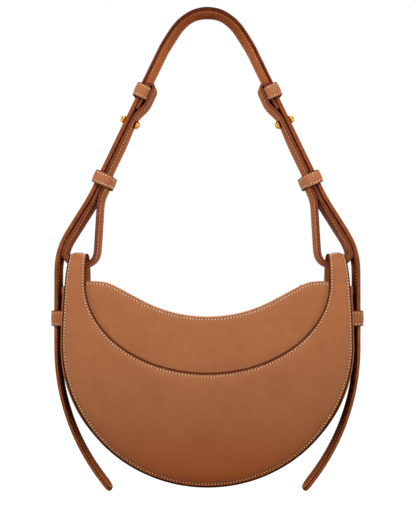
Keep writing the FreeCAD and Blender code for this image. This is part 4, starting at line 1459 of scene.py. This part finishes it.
for side in ("left", "right"):
    stud(side, "stud_post", "handle", -STRAP_THICKNESS / 2, -1, POST_SHANK)
    stud(side, "stud_cap", f"{side}_cap", INNER_LEG + LOOP_THICKNESS / 2 + CAP_GAP, 1, CAP_SHANK)
    strap_keeper(side, "upper_keeper", "handle", UPPER_KEEPER_PLACE, UPPER_KEEPER_HEIGHT, KEEPER_WALL,
                 UPPER_INNER_FACE, UPPER_SLACK)
    strap_keeper(side, "lower_keeper", f"{side}_keeper", LOWER_KEEPER_PLACE, LOWER_KEEPER_HEIGHT,
                 LOWER_KEEPER_WALL, LOWER_INNER_FACE, LOWER_SLACK)
    side_keeper(side)


# Inside of the bag

WADDING_THICKNESS, WADDING_EDGE, WADDING_TRIM, WADDING_GROWTH, WADDING_FILL = 2.2, 1.6, 3.0, 10.2, 0.5
LINING_GRID, LINING_INSET, LINING_DROP, CLOTH_EDGE = (150, 60), 5.4, 5.0, 1.5
POCKET_HALF, POCKET_TOP, POCKET_HEIGHT, POCKET_GRID = 55.0, -293.5, 78.0, (60, 40)
POCKET_OPENING, POCKET_SEAM, POCKET_STITCH_SINK, POCKET_SIDE_POINTS = 1.6, 3.0, 0.04, 41


def wadding():
    ring = crescent_outline(run_of(MOUTH_FLAT_Z), lambda z: WADDING_TRIM, WADDING_GROWTH)
    felt = Piece("crescent_wadding", FELT)
    rim = cloth_rim(WADDING_THICKNESS, WADDING_EDGE)
    panel(felt, ring, CRESCENT_GRID, rim, YOKE_LIFT, crescent_crown, HORN_FADE)
    felt.make("bag", "padding", "crescent_padding")


def lining(side):
    ring = ring_of(on_wall(half_moon_sides(LINING_INSET, LINING_DROP), side), LINING_GRID)
    cloth = Piece(f"{side}_lining_cloth", SUEDE)
    panel(cloth, ring, LINING_GRID, cloth_rim(LINING_THICKNESS, CLOTH_EDGE), LINING_LIFT)
    size, area = flat_size(ring)
    cloth.make("bag", "lining", f"{side}_lining")


def pocket_crown(x, h):
    """The pocket's mouth stands a little off the lining, towards the inside."""
    down = (-h - run_of(POCKET_TOP)) / POCKET_HEIGHT
    return -POCKET_OPENING * max(0.0, 1 - (x / POCKET_HALF) ** 2) * max(0.0, 1 - down) ** 1.5


def slip_pocket():
    """A pocket on the back lining, open at its top, with a stitched hem."""
    low = POCKET_TOP - POCKET_HEIGHT
    corners = [(POCKET_HALF, POCKET_TOP), (-POCKET_HALF, POCKET_TOP), (-POCKET_HALF, low), (POCKET_HALF, low)]
    sides = [resampled(ends, POCKET_SIDE_POINTS) for ends in zip(corners, corners[1:] + corners[:1])]
    ring = ring_of([on_back(line) for line in sides], POCKET_GRID)
    cloth = Piece("slip_pocket_cloth", SUEDE)
    panel(cloth, ring, POCKET_GRID, cloth_rim(POCKET_THICKNESS, CLOTH_EDGE), POCKET_LIFT, pocket_crown)
    size, area = flat_size(ring)
    cloth.make("bag", "lining", "slip_pocket")
    thread = Sewing("slip_pocket_stitching")
    line = inset(ring, POCKET_SEAM)
    lift = POCKET_LIFT - POCKET_THICKNESS + POCKET_STITCH_SINK
    thread.sew([(wall(x, h, lift + pocket_crown(x, h)), -facing(x, h)) for x, h in line + line[:1]])
    thread.make("bag", "lining")


wadding()
for side in ("front", "back"):
    lining(side)
slip_pocket()
gusset_lining()


# Zip

TAPE_HALF, TAPE_DEPTH, TAPE_GRID, TAPE_EDGE, TAPE_SIDE_POINTS = 95.0, 12.0, (160, 10), 0.8, 121
TOOTH_PITCH, TOOTH_WIDTH, TOOTH_FOOT, TOOTH_LEAD = 2.0, 1.15, 2.2, 1.5
TOOTH_TOPS = {"front": -0.95, "back": 0.4}
TOOTH_SQUARENESS, TOOTH_SIDES = 1.25, 8
TOOTH_RINGS = ((-5.15, 0.7, 0.8), (-5.4, 1.0, 1.0), (-7.2, 1.0, 1.0), (-7.5, 0.62, 0.8), (-8.4, 0.5, 0.6))
ZIP_RADIUS, ZIP_RISE = 150.6, 101.3
TAB_START, TAB_ANGLE, TAB_STEPS, TAB_INSET, TAB_THICKNESS = 30.6, 10.8, 24, 7.8, 1.2


def zip_line(side):
    """The mouth's edge along the zip, from the left to the right."""
    drop = BACK_DROP if side == "back" else 0.0
    return [(x, z) for x, z in mouth_line(half_width(MOUTH_FLAT_Z), drop) if abs(x) <= TAPE_HALF]


def zip_tape(side):
    top = zip_line(side)
    low = [(x, z - TAPE_DEPTH) for x, z in top[::-1]]
    sides = on_wall([top, [top[-1], low[0]], low, [low[-1], top[0]]], side)
    ring = ring_of([resampled(line, TAPE_SIDE_POINTS) for line in sides], TAPE_GRID)
    tape = Piece(f"zip_tape_{side}_weave", TAPE)
    panel(tape, ring, TAPE_GRID, cloth_rim(TAPE_THICKNESS, TAPE_EDGE), TAPE_LIFT)
    tape.make("bag", "zip_fabric", f"zip_tape_{side}")


def squared(share):
    return max(-1.0, min(1.0, TOOTH_SQUARENESS * share))


def zip_teeth(side):
    """Separate metal teeth on the tape's upper edge, each a rounded block with a narrower head."""
    line, down = (on_front(zip_line(side)), 1) if side == "front" else (on_back(zip_line(side)), -1)
    total, top = lengths(line), TOOTH_TOPS[side]
    start = TOOTH_LEAD if side == "front" else TOOTH_LEAD + TOOTH_PITCH / 2
    half, middle = (TOOTH_FOOT - top) / 2, (TOOTH_FOOT + top) / 2
    teeth = Piece(f"zip_teeth_{side}_row", GILT_TEETH)
    for k in range(int((total[-1] - 2 * start) / TOOTH_PITCH) + 1):
        (x, h), (dx, dh) = along(line, total, start + k * TOOTH_PITCH)
        rings = []
        for lift, wide, tall in TOOTH_RINGS:
            ring = []
            for cosine, sine in circle(TOOTH_SIDES, 0.5):
                u = squared(cosine) * wide * TOOTH_WIDTH / 2
                v = down * (squared(sine) * tall * half + middle)
                ring.append(wall(x + dx * u, h + dh * u + v, lift))
            rings.append(ring)
        teeth.tube(rings)
    teeth.make("bag", "gilt_metal", f"zip_teeth_{side}")


def zip_tab(side):
    """A leather tab that joins the front and the back at an end of the zip."""
    turns = [math.radians(TAB_START + TAB_ANGLE * k / TAB_STEPS) for k in range(TAB_STEPS + 1)]
    sign = -1 if side == "left" else 1
    centre = FOLD_Z + ZIP_RISE
    path = [Vector((sign * ZIP_RADIUS * math.sin(t), 0, centre - ZIP_RADIUS * math.cos(t))) for t in turns]
    width = 2 * (half_depth(path[-1].z) - TAB_INSET)
    path = path if sign > 0 else path[::-1]
    band("leather", f"{side}_zip_tab", "bag", path, ACROSS, width, TAB_THICKNESS, taper=0.0)


def dress(metal, *nodes):
    """Gives CAD nodes that keep their shape a finish."""
    for node in nodes:
        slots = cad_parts[node].data.materials
        slots.clear()
        slots.append(metal)


for side in ("front", "back"):
    zip_tape(side)
    zip_teeth(side)
for side in ("left", "right"):
    zip_tab(side)
dress(GILT, "zip_slider", "zip_pull")
dress(BOARD, "base_stiffener")


# Studio, in metres

EYE, LENS, SENSOR, SHIFT = (0, -0.8, -0.242), 61.96, 36.0, (0.6 / 520, 25 / 520)
AREA_LIGHTS = (
    ("top_light", (0.0, -0.7, 0.68), (0.0, 0.0, -0.25), (0.9, 0.7), 10.1),
    ("left_light", (-1.1, -0.6, -0.22), (0.0, 0.0, -0.24), (0.5, 0.6), 2.3),
    ("right_light", (1.1, -0.6, -0.22), (0.0, 0.0, -0.24), (0.5, 0.6), 2.3),
    ("back_light", (0.0, 0.9, 0.5), (0.0, 0.0, -0.25), (0.9, 0.7), 8.0),
)
SPOT_LIGHTS = (("left_strap_light", 1), ("right_strap_light", -1))
SPOT_PLACE, SPOT_TARGET = (0.95, -0.5, -0.42), (-0.085, 0.0, -0.115)
SPOT_POWER, SPOT_ANGLE, SPOT_BLEND, SPOT_SIZE = 16.0, math.radians(17), 0.6, 0.12
SKY_SEEN, SKY_LIGHT = 1.0, 0.17
FLOOR_HALF, FLOOR_Z, FLOOR_GLOW, FLOOR_GREY = 9.0, -0.76, 0.95, (0.4, 0.4, 0.4, 1)


def camera():
    data = bpy.data.cameras.new("camera")
    data.lens, data.sensor_width = LENS, SENSOR
    data.shift_x, data.shift_y = SHIFT
    eye = placed("camera", data)
    eye.location = EYE
    eye.rotation_euler = (math.pi / 2, 0, 0)
    bpy.context.scene.camera = eye


def lamp(name, kind, place, target, **settings):
    """A light that points from a place to a target."""
    light = bpy.data.lights.new(name, kind)
    for key, value in settings.items():
        setattr(light, key, value)
    made = placed(name, light)
    made.location = place
    made.rotation_euler = (Vector(target) - Vector(place)).to_track_quat("-Z", "Y").to_euler()


def lamps():
    for name, place, target, (width, height), power in AREA_LIGHTS:
        lamp(name, "AREA", place, target, shape="RECTANGLE", size=width, size_y=height, energy=power)
    for name, side in SPOT_LIGHTS:
        place, target = [(side * x, y, z) for x, y, z in (SPOT_PLACE, SPOT_TARGET)]
        lamp(name, "SPOT", place, target, energy=SPOT_POWER, spot_size=SPOT_ANGLE, spot_blend=SPOT_BLEND,
             shadow_soft_size=SPOT_SIZE)


def seen(tree):
    """1 for a ray from the camera, straight, mirrored or through glass, and 0 for other light."""
    paths = tree.nodes.new("ShaderNodeLightPath").outputs
    kinds = [Wire(tree, paths[kind]) for kind in ("Is Camera Ray", "Is Glossy Ray", "Is Transmission Ray")]
    rays = kinds[0] + kinds[1] + kinds[2]
    return rays.math("MINIMUM", rays, 1.0)


def sky():
    """White where it is seen, and dim as a light."""
    world = bpy.data.worlds.new("studio_white")
    world.use_nodes = True
    bpy.context.scene.world = world
    tree = world.node_tree
    background = tree.nodes["Background"].inputs
    background["Color"].default_value = (1, 1, 1, 1)
    strength = seen(tree) * (SKY_SEEN - SKY_LIGHT) + SKY_LIGHT
    tree.links.new(strength.socket, background["Strength"])


def floor():
    """A floor that looks white and casts no light."""
    place, paint = finish("studio_floor_paint", Base_Color=FLOOR_GREY, Roughness=0.9, Emission_Strength=1.0)
    glow = seen(place.tree) * FLOOR_GLOW
    mesh = bpy.data.meshes.new("studio_floor")
    corners = [(x * FLOOR_HALF, y * FLOOR_HALF, FLOOR_Z) for x, y in ((-1, -1), (1, -1), (1, 1), (-1, 1))]
    mesh.from_pydata(corners, [], [(0, 1, 2, 3)])
    mesh.materials.append(paint(Emission_Color=glow.node("CombineColor", {}, {0: glow, 1: glow, 2: glow})))
    placed("studio_floor", mesh)


camera()
lamps()
sky()
floor()
bpy.context.scene.view_settings.view_transform = "Standard"
